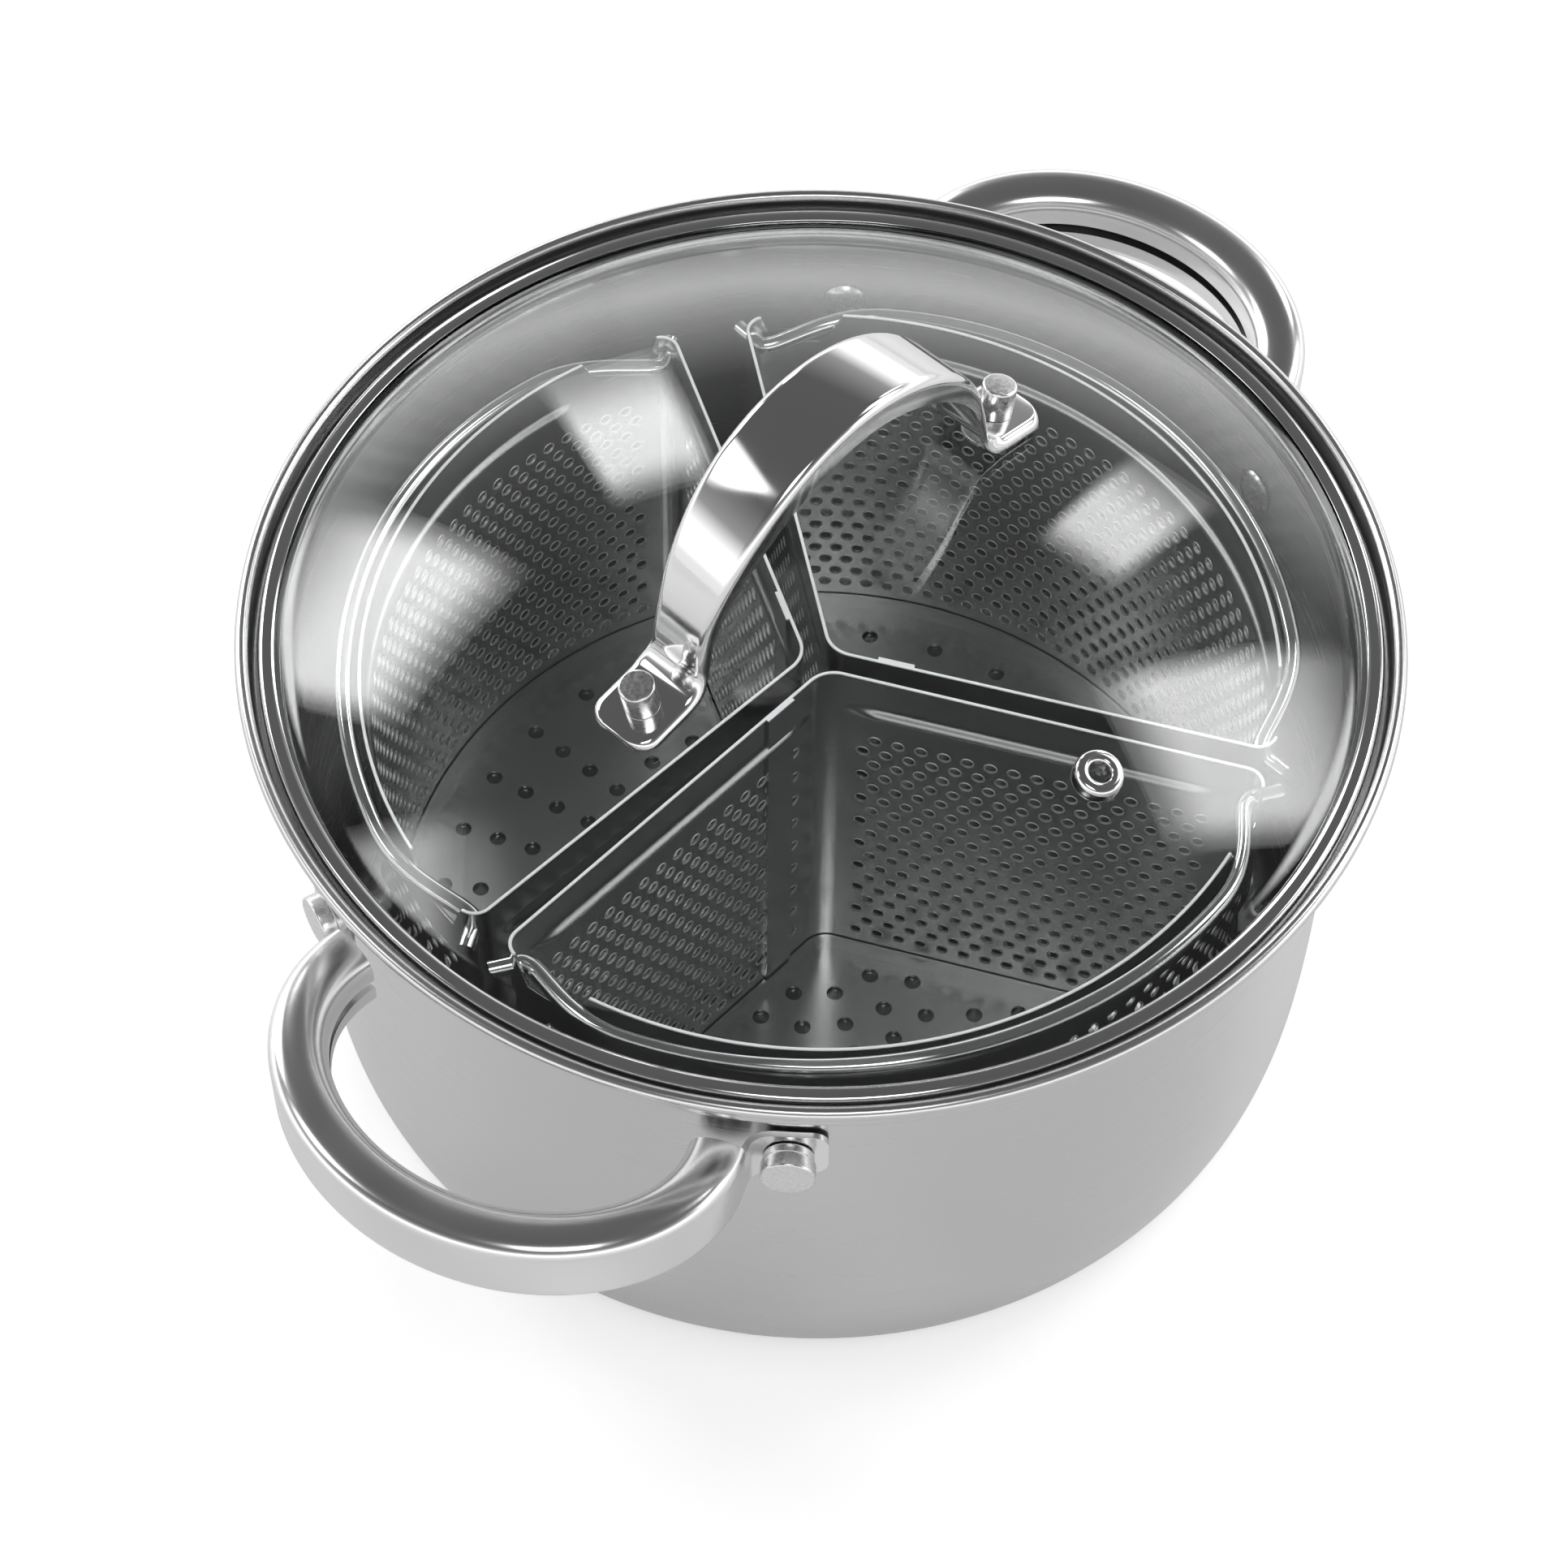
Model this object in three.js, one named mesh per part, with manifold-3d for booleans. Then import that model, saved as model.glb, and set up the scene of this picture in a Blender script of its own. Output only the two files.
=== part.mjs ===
// Stainless steel pot with a domed glass lid and three sector strainer baskets on wire bails.
// Millimetres, +Z up, origin at the middle of the underside, +X along the two loop handles.
import * as THREE from 'three';
import { mergeVertices } from 'three/addons/utils/BufferGeometryUtils.js';
import Module from 'manifold-3d';

const wasm = await Module();
wasm.setup();

// Fits
const FIT = 0.3;                   // clearance between pieces that touch
const EMBED = 0.2;                 // how far fused features sink into the sheet that carries them
const CUT = 2;                     // how far a cutter runs past the face it cuts

// Pot shell
const POT_HEIGHT = 144;            // underside to the top of the lip
const LIP_BEAD = 3.3;              // thickness of the rolled lip
const LIP_CURL = 110;              // how far the lip curls under, degrees past level
const WALL_RADIUS = 129;           // outside of the straight wall
const RIM_FLARE = 11;              // outside of the wall to the outside of the rolled lip
const WALL = 1;                    // sheet thickness of the shell
const FOOT_INSET = 17;             // outside of the wall to where its curve meets the flat bottom
const CURVE_RISE = 64;             // height over which the wall curves in
const CURVE_POWER = 3.6;           // squareness of that curve, 2 is an ellipse
const SEAT_DROP = 8;               // lid seat below the top of the lip
const FLARE_RISE = 6;              // height of the bend from the wall out to the seat

// Base
const CAP_SHEET = 0.8;
const CORE_THICKNESS = 3.5;
const CAP_INSET = 2;               // the cap's edge in from the flat bottom's
const CAP_BEND = 2;                // corner radius of the cap's edge

// Loop handles
const HANDLE_SHEET = 2;
const HANDLE_DEPTH = 53.5;         // outside of the wall to the outside of the loop
const HANDLE_HALF_WIDTH = 58;      // handle axis to the outside of the loop
const LOOP_OFFSET = 6;             // outside of the wall to the middle of the loop's ellipse
const BAND_HEIGHT = 21;            // height of the loop's outer band
const BAND_REACH = 13.5;           // how far the turned-in edges reach
const BAND_ROLL = 5.5;             // radius of the rolled edges
const BAND_LIP = 4.5;              // length of the lip behind each roll
const BAND_DROP = 27;              // middle of the band below the lip's top, at the loop's end
const EAR_DROP = 32;               // rivet below the lip's top
const EAR_HEIGHT = 15.5;
const EAR_REACH = 9;               // rivet to the end of the ear
const EAR_CORNER = 4;
const EAR_ROUNDING = [[0.7, 0.1], [0.3, 0.4], [0, 1]];   // from the end and off each edge, in corners
const RIVET_OFFSET = 8.6;          // end of the loop to a rivet, round the pot
const EAR_BEND = 6;                // length of the bend between arm and ear

// Handle rivets
const RIVET_SHANK = 2.6;           // radius
const RIVET_NECK = 5.9;
const RIVET_NECK_LENGTH = 2.2;
const RIVET_HEAD = 6.4;
const RIVET_HEAD_LENGTH = 4;
const RIVET_INNER_HEAD = 6;
const RIVET_INNER_RISE = 2.2;
const DOMED = 0.7;                 // shoulder of a domed head as a share of its radius and rise

// Lid
const GLASS = 3.6;                 // thickness
const DOME_RADIUS = 310;
const GLASS_FLANGE = 4.7;          // width of the flat edge round the dome
const LID_GAP = 2;                 // between the lid's rim and the pot's lip
const LID_RIM_SHEET = 0.6;
const LID_RIM_TOP_LIP = 4.1;       // width of the rim over the glass
const LID_RIM_UNDER_LIP = 5.6;     // width of the rim under the glass
const LID_TURN = -11.5;            // lid handle from the handle axis, degrees

// Lid handle
const STRAP_SHEET = 1.4;
const STRAP_HALF_SPAN = 50;        // outside of each leg
const STRAP_RISE = 54;             // top of the strap above the dome
const STRAP_WIDTH = 22;            // at the apex
const STRAP_LEG_WIDTH = 15;        // at the foot of each leg
const STRAP_EDGE = 7.5;            // depth of the turned-down edges at the apex
const STRAP_ROLL = 2.2;            // bend radius of those edges
const TAB_WIDTH = 19;
const TAB_EDGE = 2.6;              // depth of the turned-down edges at the tabs
const TAB_REACH = 9.5;             // stud to the end of the tab
const TAB_BEND = 6;
const TAB_ROUNDING = [[2.5, 0], [0.8, 1.6], [0, 5]];     // from the tab's end and off its width
const STUD_OFFSET = 10;            // outside of each leg to its stud

// Lid hardware
const STUD_SHANK = 2.5;            // radius
const STUD_HEAD = 4.3;
const STUD_HEAD_LENGTH = 8.5;
const STUD_CHAMFER = 0.6;
const STUD_FOOT = 5;
const STUD_FOOT_LENGTH = 1.6;
const GASKET_RADIUS = 7.4;
const GASKET_THICKNESS = 1.2;
const GASKET_SLEEVE = 3.9;
const WASHER_RADIUS = 7;
const WASHER_THICKNESS = 1.2;
const VENT_SPREAD = 84.7;          // lid axis to the vent
const VENT_TURN = -89;             // vent from the lid handle, degrees
const VENT_HOLE = 2.6;             // radius
const VENT_BARREL = 3.8;
const VENT_FLANGE = 6;
const VENT_FLANGE_THICKNESS = 1.4;

// Baskets
const BASKET_NAMES = ['right', 'front', 'left'];
const BASKET_TURNS = [-15.5, -132.9, 108.4];   // middle of each basket round the pot, degrees
const BASKET_ANGLE = 117;          // between the two straight walls
const BASKET_GAP = 16.5;           // between the baskets' outer walls and the pot's
const BASKET_APEX = 3;             // pot axis to where the straight walls would meet
const BASKET_APEX_ROUND = 8;
const BASKET_CORNER_ROUND = 5;
const BASKET_SHEET = 0.8;
const BASKET_DROP = 19;            // top edge below the pot's lip
const BASKET_FLOOR = 1;
const FLOOR_EDGE = 6;              // height of the floor pan's upturned edge
const LAP_START = 12;              // apex to the lap seam along the wall
const LAP_WIDTH = 9;
const RIB_DROP = 13;               // rib below the top edge
const RIB_WIDTH = 4;
const RIB_RISE = 1;
const RIB_START = 12;              // apex to the rib along a plain wall
const RIB_MARGIN = 6;              // rib's end to the middle of the corner, along the wall

// Bails
const WIRE = 2.25;                 // radius
const BAIL_OFFSET = 4;             // the basket's outer wall to the middle of the wire round it
const BAIL_HALF_ARC = 38;          // degrees of that stretch each side of the middle
const BAIL_PIVOT_DROP = 7.5;       // pivot below the basket's top edge
const BAIL_TILT = 7;               // slope of the resting bail, degrees
const BAIL_STUB = 5.2;             // wire outside the corner hole
const BAIL_INSIDE = 2.2;           // straight wire inside the corner hole
const BAIL_EASE_IN = 5;
const BAIL_EASE_OUT = 18;
const NOTCH_WIDTH = 18;

// Facets
const ROUND = 48;                  // round the pot and lid
const ROUND_SMALL = 12;            // round rivets and studs
const ROUND_WIRE = 6;
const BAIL_EASE_STEPS = 6;
const BAIL_ARC_STEPS = 6;
const FOOT_STEPS = 4;
const DOME_STEPS = 6;
const LOOP_STEPS = 16;
const ARCH_STEPS = 8;
const SHEET_ARC = 4;               // half the facets of each bend in a basket's outline

// Radii and levels worked out from the sizes above
const RIM_RADIUS = WALL_RADIUS + RIM_FLARE;
const FOOT_RADIUS = WALL_RADIUS - FOOT_INSET;
const CAP_RADIUS = FOOT_RADIUS - CAP_INSET;
const EAR_RADIUS = WALL_RADIUS + FIT + HANDLE_SHEET;
const HANDLE_REACH = WALL_RADIUS + HANDLE_DEPTH;
const LOOP_CENTRE = WALL_RADIUS + LOOP_OFFSET;
const LID_RIM_RADIUS = RIM_RADIUS - LIP_BEAD - LID_GAP;
const GLASS_RADIUS = LID_RIM_RADIUS - LID_RIM_SHEET - FIT;
const DOME_FOOT = GLASS_RADIUS - GLASS_FLANGE;
const STUD_SPREAD = STRAP_HALF_SPAN + STUD_OFFSET;
const BASKET_RADIUS = WALL_RADIUS - WALL - BASKET_GAP;
const BAIL_RADIUS = BASKET_RADIUS + BAIL_OFFSET;
const SHELL_BOTTOM = CAP_SHEET + CORE_THICKNESS;
const POT_FLOOR = SHELL_BOTTOM + WALL;
const SEAT = POT_HEIGHT - SEAT_DROP;
const LID_BOTTOM = SEAT + FIT;
const GLASS_EDGE_BOTTOM = LID_BOTTOM + LID_RIM_SHEET + FIT;
const GLASS_EDGE_TOP = GLASS_EDGE_BOTTOM + GLASS;
const LID_RIM_TOP = GLASS_EDGE_TOP + FIT + LID_RIM_SHEET;
const DOME_CENTRE = GLASS_EDGE_TOP - Math.sqrt(DOME_RADIUS ** 2 - DOME_FOOT ** 2);
const STRAP_TOP = DOME_CENTRE + DOME_RADIUS + STRAP_RISE;
const BASKET_BOTTOM = POT_FLOOR + FIT;
const BASKET_TOP = POT_HEIGHT - BASKET_DROP;
const BASKET_HALF = THREE.MathUtils.degToRad(BASKET_ANGLE / 2);
const PIVOT_LEVEL = BASKET_TOP - BAIL_PIVOT_DROP;

const rad = THREE.MathUtils.degToRad;
const v2 = (x, y) => new THREE.Vector2(x, y);
const v3 = (x, y, z) => new THREE.Vector3(x, y, z);

// A closed solid from geometry: shared corners merged, faces turned outwards.
function closed(geometry) {
  const plain = geometry.clone();
  for (const name of Object.keys(plain.attributes)) {
    if (name !== 'position') plain.deleteAttribute(name);
  }
  const merged = mergeVertices(plain, 1e-4);
  const { array } = merged.attributes.position;
  const faces = [];
  let volume = 0;
  const corner = (i) => v3(array[3 * i], array[3 * i + 1], array[3 * i + 2]);
  for (let i = 0; i < merged.index.count; i += 3) {
    const [a, b, c] = [0, 1, 2].map((k) => merged.index.getX(i + k));
    if (a === b || b === c || c === a) continue;
    faces.push(a, b, c);
    volume += corner(a).dot(corner(b).cross(corner(c)));
  }
  if (volume < 0) faces.reverse();
  merged.setIndex(faces);
  return merged;
}

function toSolid(geometry) {
  const { attributes, index } = closed(geometry);
  return new wasm.Manifold(new wasm.Mesh({
    numProp: 3,
    vertProperties: new Float32Array(attributes.position.array),
    triVerts: new Uint32Array(index.array),
  }));
}

function toGeometry(solid) {
  const mesh = solid.getMesh();
  const geometry = new THREE.BufferGeometry();
  geometry.setAttribute('position', new THREE.BufferAttribute(new Float32Array(mesh.vertProperties), 3));
  geometry.setIndex(new THREE.BufferAttribute(new Uint32Array(mesh.triVerts), 1));
  return geometry;
}

function join(first, ...rest) {
  return toGeometry(rest.reduce((sum, next) => sum.add(toSolid(next)), toSolid(first)));
}

function cut(first, ...rest) {
  return toGeometry(rest.reduce((sum, next) => sum.subtract(toSolid(next)), toSolid(first)));
}

// A profile of radius and height turned about the Z axis.
function revolve(points, segments) {
  return closed(new THREE.LatheGeometry(points, segments).rotateX(Math.PI / 2));
}

// A profile that closes on itself, turned about the Z axis.
const revolveLoop = (points, segments) => revolve([...points, points[0].clone()], segments);

// An outline raised from one level to another.
function raise(shape, from, to) {
  const options = { depth: to - from, bevelEnabled: false, curveSegments: SHEET_ARC };
  return closed(new THREE.ExtrudeGeometry(shape, options).translate(0, 0, from));
}

const anticlockwise = (points) => (THREE.ShapeUtils.isClockWise(points) ? [...points].reverse() : points);

// Sections set square to a path in one plane. Each section's first axis is up x travel, its second is up.
function loft(path, up, sectionAt) {
  const count = path.length;
  const position = [];
  const index = [];
  const sections = path.map((_, i) => anticlockwise(sectionAt(i)));
  const size = sections[0].length;
  path.forEach((point, i) => {
    const travel = path[Math.min(i + 1, count - 1)].clone().sub(path[Math.max(i - 1, 0)]);
    const side = up.clone().cross(travel).normalize();
    for (const { x, y } of sections[i]) {
      position.push(...point.clone().addScaledVector(side, x).addScaledVector(up, y).toArray());
    }
  });
  for (let i = 0; i < count - 1; i += 1) {
    for (let k = 0; k < size; k += 1) {
      const [a, b] = [i * size + k, i * size + ((k + 1) % size)];
      index.push(a, b, b + size, a, b + size, a + size);
    }
  }
  for (const [i, flip] of [[0, true], [count - 1, false]]) {
    for (const [a, b, c] of THREE.ShapeUtils.triangulateShape(sections[i], [])) {
      index.push(...(flip ? [c, b, a] : [a, b, c]).map((k) => i * size + k));
    }
  }
  const geometry = new THREE.BufferGeometry();
  geometry.setAttribute('position', new THREE.Float32BufferAttribute(position, 3));
  geometry.setIndex(index);
  return closed(geometry);
}

// The wall's curve from its straight stretch down to the flat bottom, as radius and height.
function footCurve(wallRadius, bottom) {
  const top = SHELL_BOTTOM + CURVE_RISE;
  return Array.from({ length: FOOT_STEPS + 1 }, (_, i) => {
    const turn = (i / FOOT_STEPS) * (Math.PI / 2);
    const out = Math.cos(turn) ** (2 / CURVE_POWER);
    const down = Math.sin(turn) ** (2 / CURVE_POWER);
    return v2(FOOT_RADIUS + (wallRadius - FOOT_RADIUS) * out, top - (top - bottom) * down);
  });
}

// Out from the wall to the lid's seat and up to the lip, inside or outside of the sheet.
function seatCurve(inset, riser) {
  const wall = WALL_RADIUS - inset;
  const level = SEAT - (WALL - inset);
  const path = new THREE.Path();
  path.moveTo(wall, level - FLARE_RISE);
  path.quadraticCurveTo(wall, level, wall + FLARE_RISE / 2, level);
  path.lineTo(riser - FLARE_RISE / 3, level);
  path.quadraticCurveTo(riser, level, riser, level + FLARE_RISE / 3);
  return path.getPoints(2);
}

function lipBead() {
  const half = LIP_BEAD / 2;
  const path = new THREE.Path();
  path.absarc(RIM_RADIUS - half, POT_HEIGHT - half, half, rad(-LIP_CURL), Math.PI, false);
  return path.getPoints(2);
}

function potBody() {
  const riser = RIM_RADIUS - LIP_BEAD;
  const profile = [
    v2(0, SHELL_BOTTOM),
    ...footCurve(WALL_RADIUS, SHELL_BOTTOM).reverse(),
    ...seatCurve(0, riser + WALL),
    ...lipBead(),
    ...seatCurve(WALL, riser).reverse(),
    ...footCurve(WALL_RADIUS - WALL, POT_FLOOR),
    v2(0, POT_FLOOR),
  ];
  const holes = rivetPlaces().map(({ angle }) => rivetHole(angle));
  return cut(revolve(profile, ROUND), ...holes);
}

function baseCore() {
  const radius = CAP_RADIUS - CAP_SHEET - FIT;
  const profile = [
    v2(0, CAP_SHEET),
    v2(radius - CAP_BEND, CAP_SHEET),
    v2(radius, CAP_SHEET + CAP_BEND),
    v2(radius, SHELL_BOTTOM),
    v2(0, SHELL_BOTTOM),
  ];
  return revolve(profile, ROUND);
}

function baseCap() {
  const inner = CAP_RADIUS - CAP_SHEET;
  const profile = [
    v2(0, 0),
    v2(CAP_RADIUS - CAP_BEND, 0),
    v2(CAP_RADIUS, CAP_BEND),
    v2(CAP_RADIUS, SHELL_BOTTOM),
    v2(inner, SHELL_BOTTOM),
    v2(inner, CAP_SHEET + CAP_BEND),
    v2(inner - CAP_BEND, CAP_SHEET),
    v2(0, CAP_SHEET),
  ];
  return revolve(profile, ROUND);
}

// The four rivets, by handle and side.
function rivetPlaces() {
  const places = [];
  for (const [handle, facing] of [['front', 180], ['rear', 0]]) {
    for (const [side, sign] of [['left', 1], ['right', -1]]) {
      places.push({ name: `handle_rivet_${handle}_${side}`, angle: facing + sign * earAngle() });
    }
  }
  return places;
}

// A solid of revolution laid along a radius of the pot, at the rivets' level.
function alongRadius(geometry, angle) {
  return geometry.rotateY(Math.PI / 2).rotateZ(rad(angle)).translate(0, 0, POT_HEIGHT - EAR_DROP);
}

function rivetHole(angle) {
  const radius = RIVET_SHANK + FIT;
  const [inner, outer] = [WALL_RADIUS - RIVET_INNER_HEAD, EAR_RADIUS + RIVET_NECK];
  const bar = new THREE.CylinderGeometry(radius, radius, outer - inner, ROUND_SMALL);
  return alongRadius(bar.rotateX(Math.PI / 2).translate(0, 0, (inner + outer) / 2), angle);
}

function rivet(angle) {
  const inside = WALL_RADIUS - WALL - FIT - RIVET_INNER_HEAD ** 2 / (2 * WALL_RADIUS);
  const outside = EAR_RADIUS + FIT;
  const neck = outside + RIVET_NECK_LENGTH;
  const profile = [
    v2(0, inside - RIVET_INNER_RISE),
    v2(RIVET_INNER_HEAD * DOMED, inside - RIVET_INNER_RISE * DOMED),
    v2(RIVET_INNER_HEAD, inside),
    v2(RIVET_SHANK, inside),
    v2(RIVET_SHANK, outside),
    v2(RIVET_NECK, outside),
    v2(RIVET_NECK, neck),
    v2(RIVET_HEAD, neck),
    v2(RIVET_HEAD, neck + RIVET_HEAD_LENGTH),
    v2(0, neck + RIVET_HEAD_LENGTH),
  ];
  return alongRadius(revolve(profile, ROUND_SMALL), angle);
}

// The loop's outside seen from above, by the turn round its ellipse in degrees.
function loopOutline(turn) {
  const x = LOOP_CENTRE + (HANDLE_REACH - LOOP_CENTRE) * Math.cos(rad(turn));
  return v2(x, HANDLE_HALF_WIDTH * Math.sin(rad(turn)));
}

// The turn round the loop that covers a length of its side, in degrees.
const turnFor = (length) => THREE.MathUtils.radToDeg(length / HANDLE_HALF_WIDTH);

// How far the loop turns before its outside meets the ear's face.
function loopEnd() {
  let [low, high] = [90, 150];
  for (let i = 0; i < 40; i += 1) {
    const middle = (low + high) / 2;
    if (loopOutline(middle).length() > EAR_RADIUS) low = middle;
    else high = middle;
  }
  return low;
}

// Handle axis to a rivet, in degrees round the pot.
function earAngle() {
  return THREE.MathUtils.radToDeg(loopOutline(loopEnd()).angle() + RIVET_OFFSET / EAR_RADIUS);
}

// A point on the outside of the loop, by its turn.
function loopPoint(turn) {
  const { x, y } = loopOutline(turn);
  const share = THREE.MathUtils.smoothstep(x, EAR_RADIUS * Math.cos(rad(earAngle())), HANDLE_REACH);
  return v3(x, y, POT_HEIGHT - THREE.MathUtils.lerp(EAR_DROP, BAND_DROP, share));
}

// Half of the band's section from its middle up, with the rolled edge and the lip behind it.
function bandSection() {
  const half = BAND_HEIGHT / 2;
  const sheet = HANDLE_SHEET;
  const outside = new THREE.Path();
  outside.moveTo(0, half - BAND_ROLL);
  outside.quadraticCurveTo(0, half, BAND_ROLL, half);
  outside.quadraticCurveTo(BAND_REACH, half, BAND_REACH, half - BAND_LIP);
  const inside = new THREE.Path();
  inside.moveTo(BAND_REACH - sheet, half - BAND_LIP);
  inside.quadraticCurveTo(BAND_REACH - sheet, half - sheet, BAND_ROLL, half - sheet);
  inside.quadraticCurveTo(sheet, half - sheet, sheet, half - BAND_ROLL);
  const top = [...outside.getPoints(3), ...inside.getPoints(1)];
  const bottom = top.map(({ x, y }) => v2(x, -y)).reverse();
  return [...top, ...bottom];
}

function handleLoop(end) {
  const path = Array.from({ length: LOOP_STEPS + 1 }, (_, i) => loopPoint(end * (2 * i / LOOP_STEPS - 1)));
  const section = bandSection();
  return loft(path, v3(0, 0, 1), () => section);
}

// One ear: a strap from inside the loop's band, round the bend and along the pot's wall.
function handleEar(end) {
  const level = POT_HEIGHT - EAR_DROP;
  const corner = loopPoint(end);
  const cornerAngle = Math.atan2(corner.y, corner.x);
  const alongWall = (length) => {
    const angle = cornerAngle + length / EAR_RADIUS;
    return v3(EAR_RADIUS * Math.cos(angle), EAR_RADIUS * Math.sin(angle), level);
  };
  const onLoop = (length) => loopPoint(end - turnFor(length)).setZ(level);
  const knee = corner.clone().setZ(level);
  const bend = new THREE.QuadraticBezierCurve3(onLoop(EAR_BEND), knee, alongWall(EAR_BEND));
  const tip = RIVET_OFFSET + EAR_REACH;
  const round = EAR_ROUNDING.map(([fromEnd]) => alongWall(tip - EAR_CORNER * fromEnd));
  const path = [onLoop(2 * EAR_BEND), ...bend.getPoints(5), alongWall((EAR_BEND + tip) / 2), ...round];
  return loft(path, v3(0, 0, 1), (i) => {
    const [, lost] = EAR_ROUNDING[i - (path.length - EAR_ROUNDING.length)] ?? [0, 0];
    const half = EAR_HEIGHT / 2 - EAR_CORNER * lost;
    const [outer, inner] = [EMBED / 2, HANDLE_SHEET - EMBED / 2];
    return [v2(outer, -half), v2(inner, -half), v2(inner, half), v2(outer, half)];
  });
}

function handle() {
  const end = loopEnd();
  const ear = handleEar(end);
  const otherEar = closed(ear.clone().scale(1, -1, 1));
  const loop = handleLoop(end - turnFor(EAR_BEND));
  const holes = [earAngle(), -earAngle()].map(rivetHole);
  return cut(join(loop, ear, otherEar), ...holes);
}

// Height of the dome's outside at a distance from the lid's axis.
const domeLevel = (distance) => DOME_CENTRE + Math.sqrt(DOME_RADIUS ** 2 - distance ** 2);

// An arc of the dome from its top out to where it reaches a level, as radius and height.
function domeArc(radius, level) {
  const reach = Math.acos((level - DOME_CENTRE) / radius);
  return Array.from({ length: DOME_STEPS + 1 }, (_, i) => {
    const turn = reach * (i / DOME_STEPS);
    return v2(radius * Math.sin(turn), DOME_CENTRE + radius * Math.cos(turn));
  });
}

// Places a piece built about its own axis square on the dome, a distance out and a turn round.
function onDome(geometry, spread, turn) {
  const tilt = Math.asin(spread / DOME_RADIUS);
  return geometry.rotateY(tilt).translate(spread, 0, domeLevel(spread)).rotateZ(rad(turn));
}

function domeHole(radius, spread, turn) {
  const length = 4 * GLASS;
  const bar = new THREE.CylinderGeometry(radius, radius, length, ROUND_SMALL).rotateX(Math.PI / 2);
  return onDome(bar, spread, turn);
}

function lidGlass() {
  const under = domeArc(DOME_RADIUS - GLASS, GLASS_EDGE_BOTTOM);
  const profile = [
    ...under,
    v2(GLASS_RADIUS, GLASS_EDGE_BOTTOM),
    v2(GLASS_RADIUS, GLASS_EDGE_TOP),
    ...domeArc(DOME_RADIUS, GLASS_EDGE_TOP).reverse(),
  ];
  const holes = [0, 180].map((turn) => domeHole(GASKET_SLEEVE + FIT, STUD_SPREAD, turn));
  holes.push(domeHole(VENT_BARREL + FIT, VENT_SPREAD, VENT_TURN));
  return cut(revolve(profile, ROUND), ...holes);
}

function lidRim() {
  const edge = LID_RIM_SHEET;
  const slot = LID_RIM_RADIUS - edge;
  const profile = [
    v2(LID_RIM_RADIUS - LID_RIM_UNDER_LIP, LID_BOTTOM),
    v2(LID_RIM_RADIUS - edge, LID_BOTTOM),
    v2(LID_RIM_RADIUS, LID_BOTTOM + edge),
    v2(LID_RIM_RADIUS, LID_RIM_TOP - 2 * edge),
    v2(LID_RIM_RADIUS - 2 * edge, LID_RIM_TOP),
    v2(LID_RIM_RADIUS - LID_RIM_TOP_LIP, LID_RIM_TOP),
    v2(LID_RIM_RADIUS - LID_RIM_TOP_LIP, LID_RIM_TOP - edge),
    v2(slot, LID_RIM_TOP - edge),
    v2(slot, LID_BOTTOM + edge),
    v2(LID_RIM_RADIUS - LID_RIM_UNDER_LIP, LID_BOTTOM + edge),
  ];
  return revolveLoop(profile, ROUND);
}

// The strap's outside, from the end of one tab over the arch to the end of the other, in the XZ plane.
function strapPath() {
  const tilt = Math.asin(STUD_SPREAD / DOME_RADIUS);
  const stack = GASKET_THICKNESS + 2 * FIT + STRAP_SHEET;
  const onTab = (length) => v3(
    STUD_SPREAD + stack * Math.sin(tilt) + length * Math.cos(tilt),
    0,
    domeLevel(STUD_SPREAD) + stack * Math.cos(tilt) - length * Math.sin(tilt),
  );
  const inner = (STRAP_HALF_SPAN - onTab(0).x) / Math.cos(tilt);
  const corner = onTab(inner);
  const rise = STRAP_TOP - corner.z;
  const onArch = (turn) => v3(
    STRAP_HALF_SPAN * Math.sin(turn),
    0,
    corner.z + rise * Math.cos(turn),
  );
  const bendTurn = Math.PI / 2 - TAB_BEND / rise;
  const arch = Array.from({ length: ARCH_STEPS + 1 }, (_, i) => onArch(bendTurn * i / ARCH_STEPS));
  const bend = new THREE.QuadraticBezierCurve3(onArch(bendTurn), corner, onTab(inner + TAB_BEND));
  const ends = TAB_ROUNDING.map(([fromEnd]) => onTab(TAB_REACH - fromEnd));
  const half = [...arch, ...bend.getPoints(3).slice(1), ...ends];
  const mirrored = half.slice(1).map(({ x, z }) => v3(-x, 0, z)).reverse();
  return [...mirrored, ...half];
}

// The strap's section: a plate with rolled, turned-down edges.
function strapSection(width, edge) {
  const half = width / 2;
  const roll = STRAP_ROLL;
  const path = new THREE.Path();
  path.moveTo(edge, half);
  path.absarc(roll, half - roll, roll, Math.PI / 2, Math.PI, false);
  const outside = path.getPoints(2);
  const inside = new THREE.Path();
  inside.moveTo(edge, half - STRAP_SHEET);
  inside.absarc(roll, half - roll, roll - STRAP_SHEET, Math.PI / 2, Math.PI, false);
  const right = [...inside.getPoints(1).reverse(), ...outside];
  return [...right, ...right.map(({ x, y }) => v2(x, -y)).reverse()];
}

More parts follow.
